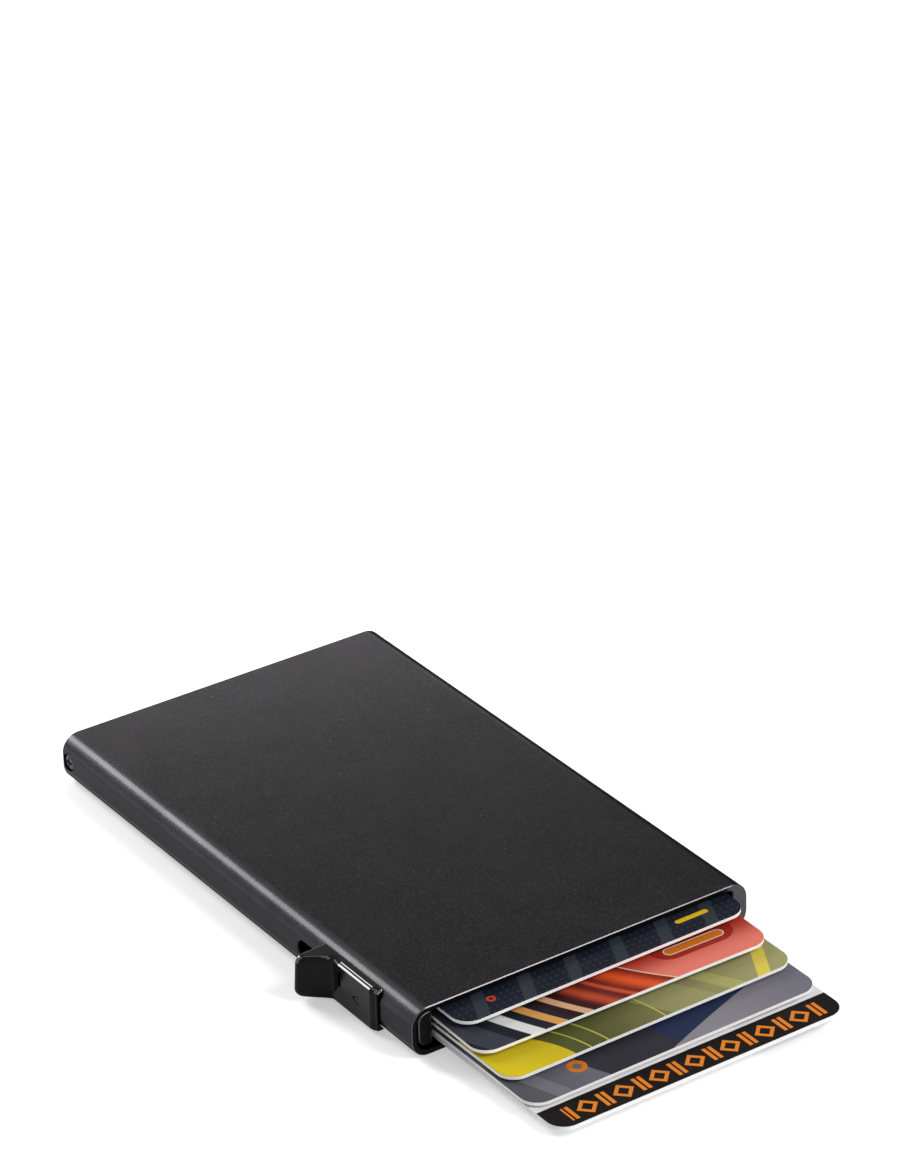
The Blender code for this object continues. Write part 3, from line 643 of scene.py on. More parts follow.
def sunset_print(g, x, y):
    """Navy with slate, pale and orange arcs, dark red with glowing arcs, and a coral field with a label;
    the coral is painted deeper red towards the rear as shade.
    """
    reach = g.distance(x, y, (46.0, FRONT + 34.0))
    g.print = g.paint("20242e", g.spread(y, FRONT, HALF_LENGTH), "2a3550")
    dark_red = g.paint("30181a", g.spread(reach, 64.0, 52.0), "8c2c20")
    g.lay(g.below(reach, 65.4, 0.15), dark_red)
    for low, high, strength, code in (
        (74.6, 78.8, 0.7, "474a55"),
        (70.2, 72.4, 1.0, "e9e7e6"),
        (66.6, 68.3, 1.0, "e0a05a"),
        (62.6, 64.0, 0.9, "e8b58c"),
    ):
        g.lay(g.band(reach, low, high, 0.12), code, strength)
    for middle, width, code in ((59.4, 1.9, "c9512f"), (56.4, 0.8, "d8603a"), (53.2, 2.4, "f0602c")):
        g.lay(g.spread(g.offset(reach, middle), 0.0, width, 0.9, 0.0), code)
    # Coral print that is painted deeper red towards the rear: painted shade from the card above and the
    # tube
    coral = g.paint("ee8271", g.spread(y, FRONT + 1.0, FRONT + 8.0), "bc3a2b")
    g.lay(g.below(reach, 50.4, 0.06), coral)
    g.lay(g.band(reach, 50.3, 50.6, 0.06), "efc9a8")
    panel = g.box_distance(x, y, (16.6, FRONT + 7.4), (7.6, 3.3), 3.3)
    g.lay(g.below(panel, 0.0), "a82b20")
    label = g.box_distance(x, y, (16.6, FRONT + 6.3), (5.6, 1.0), 1.0)
    g.lay(g.below(label, 0.0), "f3e0cc")
    g.lay(g.below(label, -0.22), "e07a20")


def olive_print(g, x, y):
    """Yellow behind an arc, olive that lightens to the right, fine arcs and a leaning yellow band."""
    g.print = g.paint("575a30", g.spread(x, -14, 26), "aaa572")
    patches = g.slant(x, y, 30)
    g.lay(g.band(patches, -21.5, -13.0, 0.1), "b9b67c", 0.35)
    g.lay(g.band(patches, -10.5, -7.5, 0.1), "c4bf70", 0.5)
    away = g.distance(x, y, (-31.0, FRONT - 3.0))
    sun = g.paint("f0da22", g.spread(away, 0.0, 16.0), "d6bf26")
    g.lay(g.below(away, 16.4, 0.05), sun)
    for radius in (19.2, 22.4, 33.0):
        g.lay(g.below(g.offset(away, radius), 0.14, 0.04), "d6cc5a", 0.8)
    stripe = g.slant(x, y, -28)
    shifted = g.math("ADD", stripe, FRONT * math.tan(math.radians(28)))
    g.lay(g.band(shifted, 19.6, 22.0, 0.06), "e6d35c")


def grey_print(g, x, y):
    """Soft waves from grey over charcoal and navy to mauve, with a small orange ring."""
    wave = g.math("MULTIPLY", g.math("SINE", g.math("MULTIPLY", y, 0.3)), 1.6)
    across = g.math("ADD", x, wave)
    g.print = g.paint("5a5a62", g.spread(x, -27, -14), "6c6c75")
    g.lay(g.band(g.slant(x, y, 20), -38.0, -35.2, 0.08), "8a8991", 0.5)
    g.lay(g.above(across, -13.2, 0.05), "34333a")
    g.lay(g.above(across, 0.6, 0.05), "2a3350")
    mauve = g.paint("8f8b92", g.spread(x, 6, 27), "7a7883")
    lift = g.math("ADD", g.math("MULTIPLY", g.math("SUBTRACT", y, FRONT), -3.1), x)
    g.lay(g.above(g.math("ADD", lift, wave), -1.4, 0.06), mauve)
    ring = g.below(g.offset(g.distance(x, y, (-15.6, FRONT + 4.6)), 1.15), 0.42)
    g.lay(ring, "dc7a24")


def white_print(g, x, y):
    """White with a black strip along the front edge that carries a row of orange diamonds and bars."""
    g.print = g.paint("f4f4f5", g.spread(y, FRONT, HALF_LENGTH), "e9e9ec")
    edge = g.box_distance(x, y, (0, 0), (HALF_WIDTH, HALF_LENGTH), CARD_CORNER / MM)
    g.lay(g.both(g.below(edge, -0.06), g.below(y, FRONT + 5.8)), "1c1715")
    middle = FRONT + 2.85
    pitch = 3.3
    inside = g.both(g.band(x, -23.6, 24.0), g.band(y, middle - 1.95, middle + 1.95))
    across = g.math("PINGPONG", x, pitch)
    along = g.offset(y, middle)
    diamond = g.offset(g.math("ADD", across, along), 1.5)
    bar = g.offset(across, pitch - 0.5)
    motif = g.either(g.below(diamond, 0.42), g.both(g.below(bar, 0.32), g.below(along, 1.75)))
    g.lay(g.both(inside, motif), "ee8a30")


def plain_back(g, x, y):
    """The underside of a card: off-white with a dark stripe and a pale panel."""
    g.print = g.paint("dcdcdf", g.spread(y, FRONT, HALF_LENGTH), "e8e8ea")
    g.lay(g.band(x, 10.5, 22.5), "1b1a1c")
    panel = g.below(g.box_distance(x, y, (-2.0, 0.0), (4.2, 30.0), 0.4), 0.0)
    g.lay(panel, "f3f1ea")


def card_material(name, design):
    """Printed plastic under a thin clear film with fine handling marks."""
    g = Graph(name)
    here = g.place()
    x, y, _ = g.parts(here)
    design(g, x, y)
    scuff = g.noise(g.stretched(here, (1, 0.06, 1), 0.4), 0.3)
    cloud = g.noise(here, 6.0, 3.0)
    g.lay(g.spread(cloud, 0.45, 0.8, 0.0, 0.015), "b8b8bc")
    g.set(Base_Color=g.print)
    g.set(Roughness=g.spread(scuff, 0.35, 0.7, 0.27, 0.31, "LINEAR"), Specular_IOR_Level=0.02)
    g.set(Normal=g.bump(cloud, 0.02))
    return g.owner


def card_core_material():
    """The white plastic that shows at the cards' edges, a little dirty."""
    g = Graph("card_core")
    here = g.place()
    dirt = g.noise(here, 0.8, 4.0, 0.6)
    layers = g.noise(g.stretched(here, (0.02, 0.02, 1)), 0.12, 1.0)
    colour = g.paint("fdfdfd", g.spread(dirt, 0.5, 0.8, 0.0, 0.25), "dad7d4")
    g.set(Base_Color=g.paint(colour, g.spread(layers, 0.5, 0.7, 0.0, 0.2), "d4d4d7"), Roughness=0.55)
    g.set(Normal=g.bump(dirt, 0.01))
    return g.owner


# Pieces

def tube_loop(inset, y):
    """The tube's outer section, moved in by inset."""
    low = (left_face + inset, inset)
    high = (right_face - inset, tube_height - inset)
    return loop_at(rounded_outline(low, high, (TUBE_CORNER - inset,) * 4, CORNER_STEPS), y, "Y")


def bay_loop(inset, y):
    """The tube's hollow section, moved in by inset."""
    low = (left_inner + inset, inner_floor + inset)
    high = (right_inner - inset, inner_ceiling - inset)
    left_radius = TUBE_CORNER - WALL - inset
    right_radius = INNER_CORNER - inset
    radii = (right_radius, left_radius, left_radius, right_radius)
    return loop_at(rounded_outline(low, high, radii, CORNER_STEPS), y, "Y")


def slot_outline(grow):
    """The slot in the left side, drawn across X and widened by grow."""
    low = (mouth_y + SLOT_FRONT - grow, mid_height - SLOT_HEIGHT / 2 - grow)
    high = (mouth_y + SLOT_REAR + grow, mid_height + SLOT_HEIGHT / 2 + grow)
    return rounded_outline(low, high, (SLOT_HEIGHT / 2 + grow,) * 4, SMALL_STEPS)


def slot_cutter():
    """A cutter that widens at the outer face, so that the edge it leaves is broken."""
    shape = bmesh.new()
    steps = (
        (left_face - OVERRUN, SLOT_CHAMFER + OVERRUN),
        (left_face + SLOT_CHAMFER, 0),
        (left_inner + OVERRUN, 0),
    )
    join_loops(shape, [loop_at(slot_outline(grow), x, "X") for x, grow in steps], closed=False)
    return shape


def screw_seat_cutter(face, sink, depth, sign):
    """A countersunk seat in one side of the tube."""
    shape = bmesh.new()
    head = SCREW_HEAD + GAP
    shank = SCREW_SHANK + GAP
    profile = (
        (head + SEAT_CHAMFER + OVERRUN, OVERRUN),
        (head, -SEAT_CHAMFER),
        (head, -sink - SCREW_RIM - GAP / 2),
        (shank, -sink - SCREW_RIM - SCREW_CONE - GAP / 2),
        (shank, -depth - OVERRUN),
    )
    add_turned(shape, profile, CIRCLE_STEPS)
    turn = Matrix.Rotation(sign * math.pi / 2, 4, "Y")
    shape.transform(Matrix.Translation((face, rear_y - SCREW_FROM_REAR, mid_height)) @ turn)
    return shape


def build_tube(outside, polished, inside):
    """The tube with its slot, two screw seats and the felt's groove."""
    shape = bmesh.new()
    loops = [
        tube_loop(REAR_CHAMFER, rear_y),
        tube_loop(REAR_CHAMFER / 4, rear_y - REAR_CHAMFER / 2),
        tube_loop(0, rear_y - REAR_CHAMFER - EDGE_SOFTENING),
        tube_loop(0, mouth_y + MOUTH_CHAMFER + EDGE_SOFTENING),
        tube_loop(EDGE_SOFTENING / 2, mouth_y + MOUTH_CHAMFER - EDGE_SOFTENING / 2),
        tube_loop(MOUTH_CHAMFER, mouth_y),
        bay_loop(-INNER_CHAMFER, mouth_y),
        bay_loop(0, mouth_y + INNER_CHAMFER),
        bay_loop(0, rear_y - INNER_CHAMFER),
        bay_loop(-INNER_CHAMFER, rear_y),
    ]
    join_loops(shape, loops, closed=True)
    tube = add_object("tube_shell", shape)

    apply_boolean(tube, slot_cutter())
    left_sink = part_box("end_screw_left")[0].x - left_face
    right_sink = right_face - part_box("end_screw_right")[1].x
    apply_boolean(tube, screw_seat_cutter(left_face, left_sink, WALL, -1))
    apply_boolean(tube, screw_seat_cutter(right_face, right_sink, RIGHT_WALL, 1))
    cut_box(
        tube,
        (right_inner - OVERRUN, mouth_y + FELT_FRONT, mid_height - FELT_HALF_HEIGHT),
        (right_inner + FELT_DEPTH, mouth_y + FELT_REAR, mid_height + FELT_HALF_HEIGHT),
    )
    smooth(tube, TUBE_SMOOTH_DEG)
    dress(tube, "case", "anodised_aluminium", outside, polished, inside)
    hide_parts("case_tube")
    for face in tube.data.polygons:
        x, y, z = face.center
        middle_x = max(min(x, right_face - TUBE_CORNER), left_face + TUBE_CORNER)
        outward = face.normal.x * (x - middle_x) + face.normal.z * (z - mid_height)
        facing_out = abs(face.normal.y)
        if y < mouth_y + MOUTH_CHAMFER and facing_out > CHAMFER_FACING and outward > OUTWARD_LEAST:
            face.material_index = 1
        elif facing_out > END_FACING or not on_outside(x, z):
            face.material_index = 2


def on_outside(x, z):
    """Whether a point of the tube lies near its outer skin."""
    margin = WALL / 3
    near_side = x < left_face + margin or x > right_face - margin
    near_flat = z < margin or z > tube_height - margin
    if near_side or near_flat:
        return True
    if min(x - left_face, right_face - x) >= TUBE_CORNER:
        return False
    centre_x = left_face + TUBE_CORNER if x < 0 else right_face - TUBE_CORNER
    centre_z = TUBE_CORNER if z < mid_height else tube_height - TUBE_CORNER
    return math.hypot(x - centre_x, z - centre_z) > TUBE_CORNER - margin


def fillet(before, corner, after, radius, steps):
    """Points of an arc that rounds a corner between two straight lines."""
    corner = Vector(corner)
    back = (Vector(before) - corner).normalized()
    ahead = (Vector(after) - corner).normalized()
    half_angle = back.angle(ahead) / 2
    centre = corner + (back + ahead).normalized() * (radius / math.sin(half_angle))
    first = corner + back * (radius / math.tan(half_angle)) - centre
    last = corner + ahead * (radius / math.tan(half_angle)) - centre
    points = []
    for step in range(steps + 1):
        share = step / steps
        spoke = (first * (1 - share) + last * share).normalized() * radius
        points.append(tuple(centre + spoke))
    return points


def slider_section(place, reach, roundness, inset=0.0, drop=0.0):
    """The slider's section across Y. Roundness turns the plate's bevelled top into the lip's round one."""
    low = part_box("thumb_slider")[0].z + inset
    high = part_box("thumb_slider")[1].z - inset - drop
    face = left_face - reach + inset
    hug = TUBE_CORNER + HUG_GAP
    hug_x = left_face + TUBE_CORNER
    rise_deg = math.degrees(math.asin((high - HUG_TIP - (tube_height - TUBE_CORNER)) / hug))
    inner = arc((hug_x, tube_height - TUBE_CORNER), hug, 180 - rise_deg, 180, SMALL_STEPS)
    inner += arc((hug_x, TUBE_CORNER), hug, 180, 180 + rise_deg, SMALL_STEPS)
    tip_x = hug_x - hug * math.cos(math.radians(rise_deg))

    share = (reach - PLATE_OUT) / (LIP_OUT - PLATE_OUT)
    low_radius = PLATE_LOW_CORNER + (LIP_LOW_CORNER - PLATE_LOW_CORNER) * max(share, 0) ** 2
    outer = arc((face + low_radius, low + low_radius), low_radius, 270, 180, SMALL_STEPS)

    lean = math.radians(BEVEL_FACET_DEG)
    along, up = math.cos(lean), math.sin(lean)
    edge = (face, high - BEVEL_DROP)
    low_facet_end = (face + BEVEL_LOW_FACET * along, high - BEVEL_DROP + BEVEL_LOW_FACET * up)
    shoulder = (face + BEVEL_RUN, high)
    high_facet_start = (face + BEVEL_RUN - BEVEL_HIGH_FACET * along, high - BEVEL_HIGH_FACET * up)
    bevelled = fillet((face, mid_height), edge, low_facet_end, BEVEL_LOW_FILLET, BEVEL_STEPS)
    bevelled += [low_facet_end, high_facet_start, shoulder]
    steps = len(bevelled) - 1
    rounded = arc((face + LIP_HIGH_CORNER, high - LIP_HIGH_CORNER), LIP_HIGH_CORNER, 180, 90, steps)
    for flat, round_point in zip(bevelled, rounded):
        x, z = (a * (1 - roundness) + b * roundness for a, b in zip(flat, round_point))
        rise = max(z - (tube_height - TUBE_CORNER), 0)
        skin = hug_x - math.sqrt(hug ** 2 - rise ** 2)
        outer.append((min(x, skin - HUG_MARGIN, tip_x - HUG_MARGIN), z))

    section = []
    for x, z in inner + [(tip_x, low)] + outer + [(tip_x, high)]:
        out = max(left_face - x, 0)
        tilt = max(out - PLATE_OUT, 0) * LIP_TILT * (mid_height - z)
        section.append((x - tilt, mouth_y + place - LIP_REAR_LEAN * out / LIP_OUT, z))
    return section


def slider_rows():
    """The slider's sections from its nose to the rear of its lip."""
    rows = []
    for step in range(NOSE_STEPS + 1):
        angle = math.pi / 2 * step / NOSE_STEPS
        place = SLIDER_FRONT + NOSE_ROUND * (1 - math.cos(angle))
        inset = FRONT_FILLET * (1 - math.sin(angle))
        drop = (NOSE_ROUND - FRONT_FILLET) * (1 - math.sin(angle))
        rows.append((place, PLATE_OUT - NOSE_DROP, NOSE_ROUNDNESS, inset, drop))
    rows += [
        (SLIDER_FRONT + NOSE_BEAD, PLATE_OUT - NOSE_DROP * BEAD_DROP_SHARE, NOSE_ROUNDNESS),
        (NOSE_END - NOSE_BREAK, PLATE_OUT - NOSE_DROP * NOSE_END_DROP_SHARE, NOSE_ROUNDNESS),
        (NOSE_END, PLATE_OUT, NOSE_ROUNDNESS / 2),
        (NOSE_END + NOSE_BREAK, PLATE_OUT, 0),
        (PLATE_END, PLATE_OUT, 0),
        ((PLATE_END + RAMP_START) / 2, PLATE_OUT, BEND_ROUNDNESS),
    ]
    for step in range(RAMP_ROWS + 1):
        share = step / RAMP_ROWS
        place = RAMP_START + (RAMP_END - RAMP_START) * share
        reach = PLATE_OUT + (LIP_OUT - PLATE_OUT) * RAMP_SHARE * share ** RAMP_POWER
        rows.append((place, reach, min(RAMP_ROUNDNESS + share, 1)))
    rows += [(place, reach, 1) for place, reach in LIP_TIP]
    for step in range(1, REAR_STEPS + 1):
        angle = math.pi / 2 * step / REAR_STEPS
        place = SLIDER_REAR - REAR_FILLET * (1 - math.sin(angle))
        rows.append((place, LIP_OUT, 1, REAR_FILLET * (1 - math.cos(angle))))
    return rows


def polish_edges(slider):
    """Gives the bevel's narrow facets, the nose's bead and the lip's crown the polished material."""
    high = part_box("thumb_slider")[1].z
    plate = left_face - PLATE_OUT
    facet = math.cos(math.radians(BEVEL_FACET_DEG))

    def on_bevel(point):
        across = plate - BEVEL_SLACK < point.x < plate + BEVEL_RUN + BEVEL_SLACK
        in_height = point.z > high - BEVEL_DROP - BEVEL_SLACK
        return across and in_height and point.y < mouth_y + PLATE_END + BEVEL_SLACK

    points = [vert.co for vert in slider.data.vertices]
    for edge in slider.data.edges:
        if all(on_bevel(points[place]) for place in edge.vertices):
            edge.use_edge_sharp = True
    for face in slider.data.polygons:
        place = face.center.y - mouth_y
        up = face.normal.z
        tip = face.center.z > high - LIP_HIGH_CORNER * TIP_SHARE
        narrow = on_bevel(face.center) and abs(up - facet) < FACET_SLACK
        bead = place < SLIDER_FRONT + NOSE_BEAD and BEAD_FACING[0] < up < BEAD_FACING[1]
        crown = place > RAMP_START + NOSE_BEAD and CROWN_FACING[0] < up < CROWN_FACING[1]
        if narrow or tip and (bead or crown and face.normal.y > CROWN_LEAST_Y):
            face.material_index = 1


def chevron_outline():
    """A chevron that points to the closed end, drawn across X."""
    tip = mouth_y + CHEVRON_TIP
    tail = tip - CHEVRON_LENGTH
    z = mid_height + CHEVRON_Z_SHIFT
    back = CHEVRON_STROKE * CHEVRON_STRETCH
    return (
        (tip, z),
        (tail, z + CHEVRON_RISE),
        (tail - back, z + CHEVRON_RISE),
        (tip - back, z),
        (tail - back, z - CHEVRON_RISE),
        (tail, z - CHEVRON_RISE),
    )


def build_slider(material, polished):
    """The thumb slider with its stem, chevron and recess."""
    shape = bmesh.new()
    join_loops(shape, [slider_section(*row) for row in slider_rows()], closed=False)
    slider = add_object("slider_cap", shape)

    half = SLOT_HEIGHT / 2 - GAP
    stem_front = mouth_y + SLOT_FRONT + GAP
    stem_low = (stem_front, mid_height - half)
    stem_high = (stem_front + STEM_LENGTH, mid_height + half)
    stem_outline = rounded_outline(stem_low, stem_high, (half,) * 4, SMALL_STEPS)
    apply_prism(slider, stem_outline, left_face - PLATE_OUT / 2, left_inner, "X", "UNION")

    plate = left_face - PLATE_OUT
    apply_prism(slider, chevron_outline(), plate - OVERRUN, plate + ENGRAVING_DEPTH, "X")
    recess_y = mouth_y + RECESS_PLACE
    recess_z = mid_height + RECESS_RISE
    outline = rounded_outline(
        (recess_y - RECESS_WIDTH / 2, recess_z - RECESS_HEIGHT / 2),
        (recess_y + RECESS_WIDTH / 2, recess_z + RECESS_HEIGHT / 2),
        (RECESS_WIDTH / 2,) * 4,
        SMALL_STEPS,
    )
    apply_prism(slider, outline, plate - OVERRUN, plate + RECESS_DEPTH, "X")
    smooth(slider, SLIDER_SMOOTH_DEG)
    dress(slider, "ejector", "gloss_black", material, polished)
    polish_edges(slider)
    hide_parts("thumb_slider")


def build_rail(material, rim_highlight_paint):
    """The rail with its plug at the front, whose rounded rim in the mouth is given a lighter, glossier
    black as a painted highlight.
    """
    low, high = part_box("slide_rail")

    def section(inset, y):
        corner = RAIL_ROUND - inset
        radii = (RAIL_EDGE, corner, corner, RAIL_EDGE)
        near = (low.x + inset, low.z + inset)
        far = (high.x - inset, high.z - inset)
        return loop_at(rounded_outline(near, far, radii, SMALL_STEPS), y, "Y")

    loops = []
    for step in range(RAIL_NOSE_STEPS + 1):
        angle = math.pi / 2 * step / RAIL_NOSE_STEPS
        inset = RAIL_NOSE_INSET * (1 - math.sin(angle))
        loops.append(section(inset, low.y + RAIL_NOSE_DEPTH * (1 - math.cos(angle))))
    loops.append(section(0, high.y))
    shape = bmesh.new()
    join_loops(shape, loops, closed=False)
    rail = add_object("rail_channel", shape)
    cut_box(
        rail,
        (low.x - OVERRUN, low.y + RAIL_PLUG, low.z + RAIL_FLANGE),
        (high.x - RAIL_WEB, high.y + OVERRUN, high.z - RAIL_FLANGE),
    )
    add_rounding(rail, RAIL_FILLET, 3)
    rail.data.shade_smooth()
    dress(rail, "case", "black_plastic", material, rim_highlight_paint)
    # The plug's front rim takes the lighter material: a painted highlight
    for face in rail.data.polygons:
        if face.center.y < low.y + RAIL_NOSE_DEPTH * RAIL_RIM_SHARE and face.normal.y > RAIL_RIM_FACING:
            face.material_index = 1
    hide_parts("slide_rail")


def screw_profile(head_radius, length):
    """Radius and height from the domed head face down a threaded shank."""
    profile = [(head_radius * reach, SCREW_DOME * rise) for reach, rise in SCREW_DOME_SHAPE]
    profile += [(head_radius, -SCREW_RIM), (SCREW_SHANK, -SCREW_RIM - SCREW_CONE)]
    depth = SCREW_RIM + SCREW_CONE + THREAD_PITCH
    while depth < length - THREAD_PITCH:
        profile.append((SCREW_SHANK, -depth))
        profile.append((SCREW_SHANK - THREAD_DEPTH, -depth - THREAD_PITCH / 2))
        depth += THREAD_PITCH
    profile.append((SCREW_SHANK * SCREW_TIP_SHARE, -length))
    return profile


def cross_outline(reach, width):
    """A plus sign."""
    half = width / 2
    quarter = ((reach, -half), (reach, half), (half, half))
    points = []
    for turn in range(4):
        cos, sin = math.cos(turn * math.pi / 2), math.sin(turn * math.pi / 2)
        points += [(a * cos - b * sin, a * sin + b * cos) for a, b in quarter]
    return points


def build_end_screw(node, side, material, recess_shade_paint):
    """A countersunk cross screw in one side, its head face where the node's is, its recess given dark matte
    plastic as painted shade.
    """
    low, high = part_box(node)
    length = high.x - low.x - SCREW_DOME
    shape = bmesh.new()
    add_turned(shape, screw_profile(SCREW_HEAD, length), CIRCLE_STEPS)
    face = low.x + SCREW_DOME if side < 0 else high.x - SCREW_DOME
    middle = (low + high) / 2
    screw = add_object(node + "_head", shape, (face, middle.y, middle.z), (0, side * math.pi / 2, 0))
    cross = bmesh.new()
    loops = []
    for height, reach_share, width_share in SCREW_CROSS_SHAPE:
        outline = cross_outline(SCREW_CROSS * reach_share, SCREW_CROSS_WIDTH * width_share)
        loops.append(loop_at(outline, height, "Z"))
    join_loops(cross, loops, closed=False)
    apply_boolean(screw, cross)
    smooth(screw)
    dress(screw, "case", "blackened_steel", material, recess_shade_paint)
    # The cross recess takes the dark matte material: painted shade
    for face in screw.data.polygons:
        x, y, z = face.center
        if math.hypot(x, y) < SCREW_CROSS * SCREW_CROSS_MARGIN and z < -SCREW_DOME / 2:
            face.material_index = 1
    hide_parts(node)


def build_cap(material):
    """The plug in the closed end: the shown face has round edges and a shallow sunk field."""
    low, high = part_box("end_cap")
    cap = link("cap_plug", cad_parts["end_cap"].data.copy())
    add_weld(cap)
    settle(cap)
    cap.data.materials.clear()
    margin = CAP_RECESS_MARGIN
    near = (low.x + margin, low.z + margin)
    far = (high.x - margin, high.z - margin)
    outline = rounded_outline(near, far, (margin / 2,) * 4, SMALL_STEPS)
    apply_prism(cap, outline, high.y - CAP_RECESS, high.y + OVERRUN, "Y")
    add_rounding(cap, CAP_FILLET, 3)
    cap.data.shade_smooth()
    dress(cap, "case", "black_plastic", material)
    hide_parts("end_cap")


def build_felt(material):
    """A felt strip with an uneven pile."""
    low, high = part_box("grip_felt")
    pile = random.Random(FELT_SEED)
    columns, rows = FELT_GRID
    shape = bmesh.new()
    grid = []
    for i in range(columns + 1):
        line = []
        for j in range(rows + 1):
            on_rim = i in (0, columns) or j in (0, rows)
            lift = 0 if on_rim else pile.uniform(0, FELT_PILE)
            y = low.y + (high.y - low.y) * i / columns
            z = low.z + (high.z - low.z) * j / rows
            line.append(shape.verts.new((low.x + FELT_PILE - lift, y, z)))
        grid.append(line)
    for i in range(columns):
        for j in range(rows):
            shape.faces.new((grid[i][j], grid[i + 1][j], grid[i + 1][j + 1], grid[i][j + 1]))
    rim = [line[0] for line in grid[:-1]] + grid[-1][:-1]
    rim += [line[-1] for line in grid[:0:-1]] + grid[0][:0:-1]
    back = [shape.verts.new((high.x, vert.co.y, vert.co.z)) for vert in rim]
    for i, vert in enumerate(rim):
        shape.faces.new((rim[i - 1], vert, back[i], back[i - 1]))
    shape.faces.new(back)
    felt = add_object("felt_strip", shape)
    smooth(felt, FELT_SMOOTH_DEG)
    dress(felt, "case", "felt", material)
    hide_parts("grip_felt")


def build_spring(material):
    """A tension coil from the rail's plug to the carriage, built at one length; it does not stretch as the
    slider moves.
    """
    low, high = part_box("return_spring")
    centre = (low + high) / 2
    total = SPRING_TURNS * SPRING_STEPS
    curve = bpy.data.curves.new("spring_coil", "CURVE")
    curve.dimensions = "3D"
    curve.bevel_depth = SPRING_WIRE
    curve.bevel_resolution = 3
    curve.use_fill_caps = True
    line = curve.splines.new("POLY")
    line.points.add(total)
    for i, point in enumerate(line.points):
        angle = 2 * math.pi * i / SPRING_STEPS
        x = centre.x + SPRING_RADIUS * math.cos(angle)
        z = centre.z + SPRING_RADIUS * math.sin(angle)
        y = low.y + SPRING_WIRE + (high.y - low.y - 2 * SPRING_WIRE) * i / total
        point.co = (x, y, z, 1)
    guide = link("spring_guide", curve)
    bpy.context.view_layer.update()
    state = bpy.context.evaluated_depsgraph_get()
    mesh = bpy.data.meshes.new_from_object(guide.evaluated_get(state))
    bpy.data.objects.remove(guide, do_unlink=True)
    spring = link("spring_coil", mesh)
    mesh.materials.clear()
    mesh.materials.append(material)
    mesh.shade_smooth()
    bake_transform(spring)
    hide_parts("return_spring")


def card_loop(inset, z):
    """A card's outline, moved in by inset."""
    far = (CARD_WIDTH / 2 - inset, CARD_LENGTH / 2 - inset)
    near = (-far[0], -far[1])
    return loop_at(rounded_outline(near, far, (CARD_CORNER - inset,) * 4, CARD_STEPS), z, "Z")


def build_card(number, slot, design, core, back):
    """A printed card with slightly rounded rims, its print on top and a plain underside."""
    node = "card_%d" % number
    low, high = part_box(node)
    thickness = high.z - low.z
    shape = bmesh.new()
    rims = [(CARD_RIM * (1 - share) ** 2, CARD_RIM * share) for share in CARD_RIM_SHARES]
    loops = [card_loop(inset, rise) for inset, rise in rims]
    loops.append(card_loop(0, thickness - CARD_RIM - PRINT_WRAP))
    loops += [card_loop(inset, thickness - rise) for inset, rise in reversed(rims)]
    join_loops(shape, loops, closed=False)
    middle = (low + high) / 2
    turn = (0, 0, math.radians(CARDS_YAW_DEG[number - 1]))
    card = add_object("printed_" + node, shape, (middle.x, middle.y, low.z), turn)
    smooth(card, CARD_SMOOTH_DEG)
    front = card_material(design.__name__, design)
    dress(card, node, slot, core, front, back)
    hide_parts(node)
    for face in card.data.polygons:
        if face.center.z > thickness - CARD_RIM - PRINT_WRAP:
            face.material_index = 1
        elif face.normal.z < UNDERSIDE_FACING:
            face.material_index = 2


def dress_nodes(material, *nodes):
    """Gives CAD pieces that stay a procedural material and slightly broken edges."""
    for node in nodes:
        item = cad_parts[node]
        item.data.materials.clear()
        item.data.materials.append(material)
        add_weld(item)
        add_rounding(item, INNER_ROUNDING, 2)


# Stage

FLOOR_REACH = 3.0
FLOOR_DROP = 0.00005
FLOOR_COLOUR = (0.9, 0.9, 0.9, 1)
FLOOR_GLOW = 0.45
WORLD_STRENGTH = 0.2
REAR_TARGET = (0.006, 0.05, 0.0085)

# Each lamp's name, direction, distance, size, radiance, target, and what its first side runs along
LAMPS = (
    ("back_strip", (-0.267, 0.805, 0.539), 1.0, (0.35, 0.5), 9.0, (0, 0, 0), (-0.896, 0.0, -0.444)),
    ("key", (0.38, -0.62, 0.68), 1.1, (0.34, 0.5), 11.0, (0, 0, 0), (1, 0, 0)),
    ("front_fill", (0.1, -0.98, 0.17), 1.2, (0.6, 0.3), 6.0, (0, 0, 0), (1, 0, 0)),
    ("rear_panel", (0.161, 0.913, 0.375), 0.12, (0.28, 0.03), 5.4, REAR_TARGET, (0.985, -0.174, 0)),
)


def add_camera():
    """The camera at the photograph's viewing angle."""
    data = bpy.data.cameras.new("camera")
    data.lens = CAMERA_LENS
    data.sensor_width = CAMERA_SENSOR
    data.clip_start, data.clip_end = CAMERA_CLIP
    camera = link("camera", data)
    camera.location = CAMERA_PLACE
    camera.rotation_euler = [math.radians(angle) for angle in CAMERA_TURN_DEG]
    bpy.context.scene.camera = camera


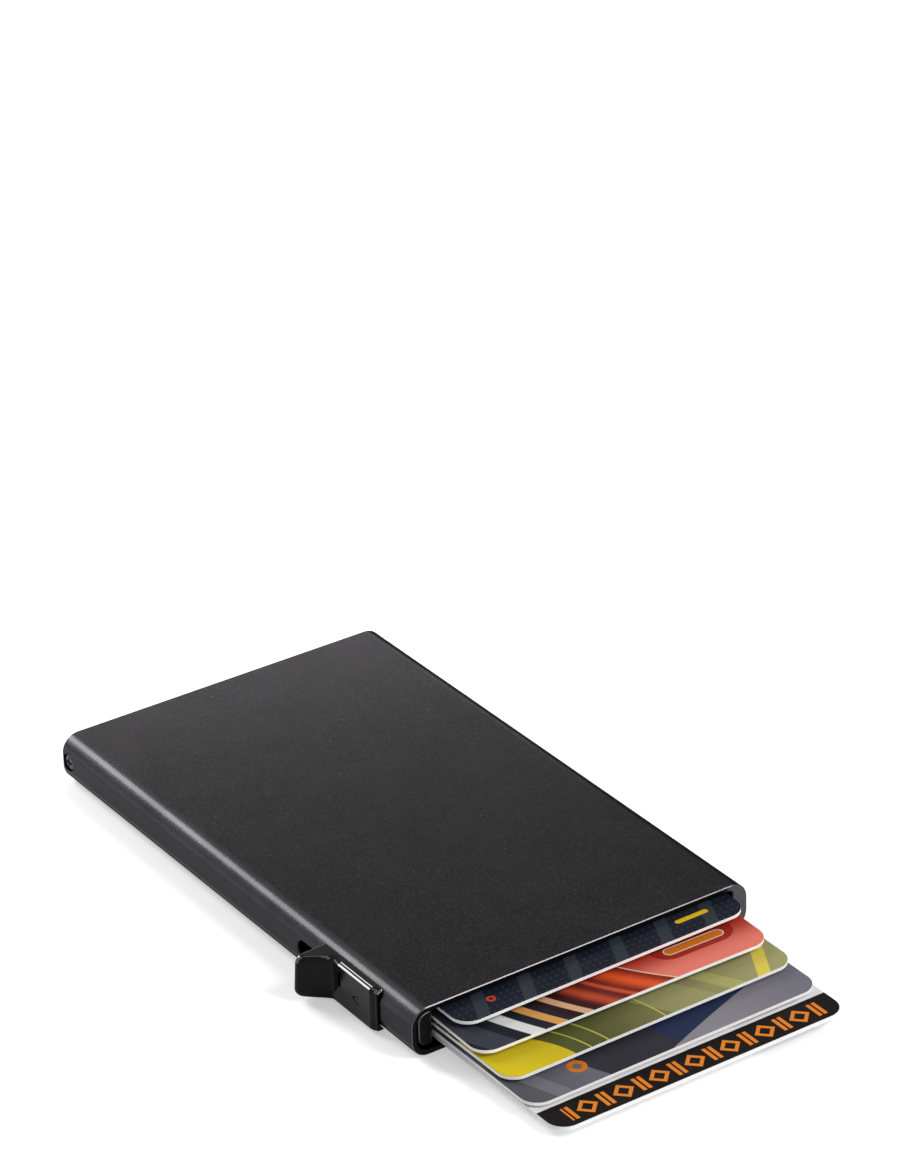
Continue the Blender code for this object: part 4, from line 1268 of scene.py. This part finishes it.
def add_floor():
    """A white floor that keeps a soft shadow and can't be seen from below."""
    shape = bmesh.new()
    corners = ((-1, -1), (1, -1), (1, 1), (-1, 1))
    shape.faces.new([shape.verts.new((a * FLOOR_REACH, b * FLOOR_REACH, 0)) for a, b in corners])
    floor = add_object("floor", shape, (0, 0, -FLOOR_DROP))
    if floor.data.polygons[0].normal.z < 0:
        floor.data.flip_normals()
    g = Graph("white_floor")
    tree = g.tree
    output = tree.nodes["Material Output"]
    tree.nodes.remove(g.shader)
    diffuse = g.node("BsdfDiffuse", {"Color": FLOOR_COLOUR})
    glow = g.node("Emission", {"Color": (1, 1, 1, 1)})
    tree.links.new(g.math("MULTIPLY", g.seen_directly(), FLOOR_GLOW), glow.inputs["Strength"])
    lit = g.node("AddShader", {0: diffuse.outputs[0], 1: glow.outputs[0]})
    clear = g.node("BsdfTransparent", {})
    back = g.node("NewGeometry", {}).outputs["Backfacing"]
    both = g.node("MixShader", {0: back, 1: lit.outputs[0], 2: clear.outputs[0]})
    tree.links.new(both.outputs[0], output.inputs["Surface"])
    floor.data.materials.append(g.owner)


def add_world():
    """A white studio: full strength where it is seen or mirrored, and weak as light."""
    g = Graph("studio", bpy.data.worlds)
    bpy.context.scene.world = g.owner
    background = g.tree.nodes["Background"].inputs
    g.feed(background["Color"], (1, 1, 1, 1))
    g.feed(background["Strength"], g.spread(g.seen_directly(), 0.0, 1.0, WORLD_STRENGTH, 1.0, "LINEAR"))


def add_light(name, direction, distance, size, radiance, target, across):
    """A soft lamp in a direction from its target. Radiance 1 is a white wall."""
    data = bpy.data.lights.new(name, "AREA")
    data.shape = "RECTANGLE"
    data.size, data.size_y = size
    data.energy = radiance * math.pi * size[0] * size[1]
    lamp = link(name, data)
    ray = Vector(direction).normalized()
    side = Vector(across)
    side = (side - ray * side.dot(ray)).normalized()
    turn = Matrix((side, ray.cross(side), ray)).transposed()
    lamp.location = Vector(target) + ray * distance
    lamp.rotation_euler = turn.to_euler()
    lamp.visible_camera = False


def main():
    """Dresses every piece and sets the stage."""
    bpy.context.scene.view_settings.view_transform = "Standard"
    anodised = anodised_material()
    inside = inner_material()
    # A lighter, glossier black for the rail plug's rim: a painted highlight
    rim_highlight_paint = plastic_material("plastic_rim_painted_highlight", "121214", "18181a", (0.22, 0.28), 0.12, 0.004, 0.7)
    gloss = plastic_material("gloss_black_plastic", "08080a", "0c0c0d", (0.1, 0.15), 0.25, 0.003, 0.1)
    matte = plastic_material("matte_black_plastic", "0b0b0c", "101011", (0.34, 0.45), 0.12, 0.008, 0.06)
    edges = plastic_material("polished_plastic_edge", "09090b", "0d0d0e", (0.08, 0.12), 0.25, 0.002, 1.0)
    steel = steel_material("drawn_steel", "8a8b8d", "b4b5b7", (0.25, 0.4))
    blackened = steel_material("blackened_steel", "3a3a3c", "58585b", (0.3, 0.45))

    build_tube(anodised, polished_material(), inside)
    build_slider(gloss, edges)
    build_rail(matte, rim_highlight_paint)
    # The screws' cross recesses take the matte black as painted shade
    build_end_screw("end_screw_left", -1, blackened, matte)
    build_end_screw("end_screw_right", 1, blackened, matte)
    build_cap(matte)
    build_felt(felt_material())
    build_spring(steel)
    core = card_core_material()
    back = card_material("card_back", plain_back)
    slots = ("navy_card", "sunset_card", "olive_card", "grey_card", "white_card")
    designs = (navy_print, sunset_print, olive_print, grey_print, white_print)
    for number, (slot, design) in enumerate(zip(slots, designs), 1):
        build_card(number, slot, design, core, back)
    dress_nodes(steel, "pivot_pin", "slider_screw", "draw_bar", "carriage_rivet", "drive_pin")
    dress_nodes(matte, "stepped_lever", "slider_carriage")
    add_floor()
    add_world()
    for lamp in LAMPS:
        add_light(*lamp)
    add_camera()


main()
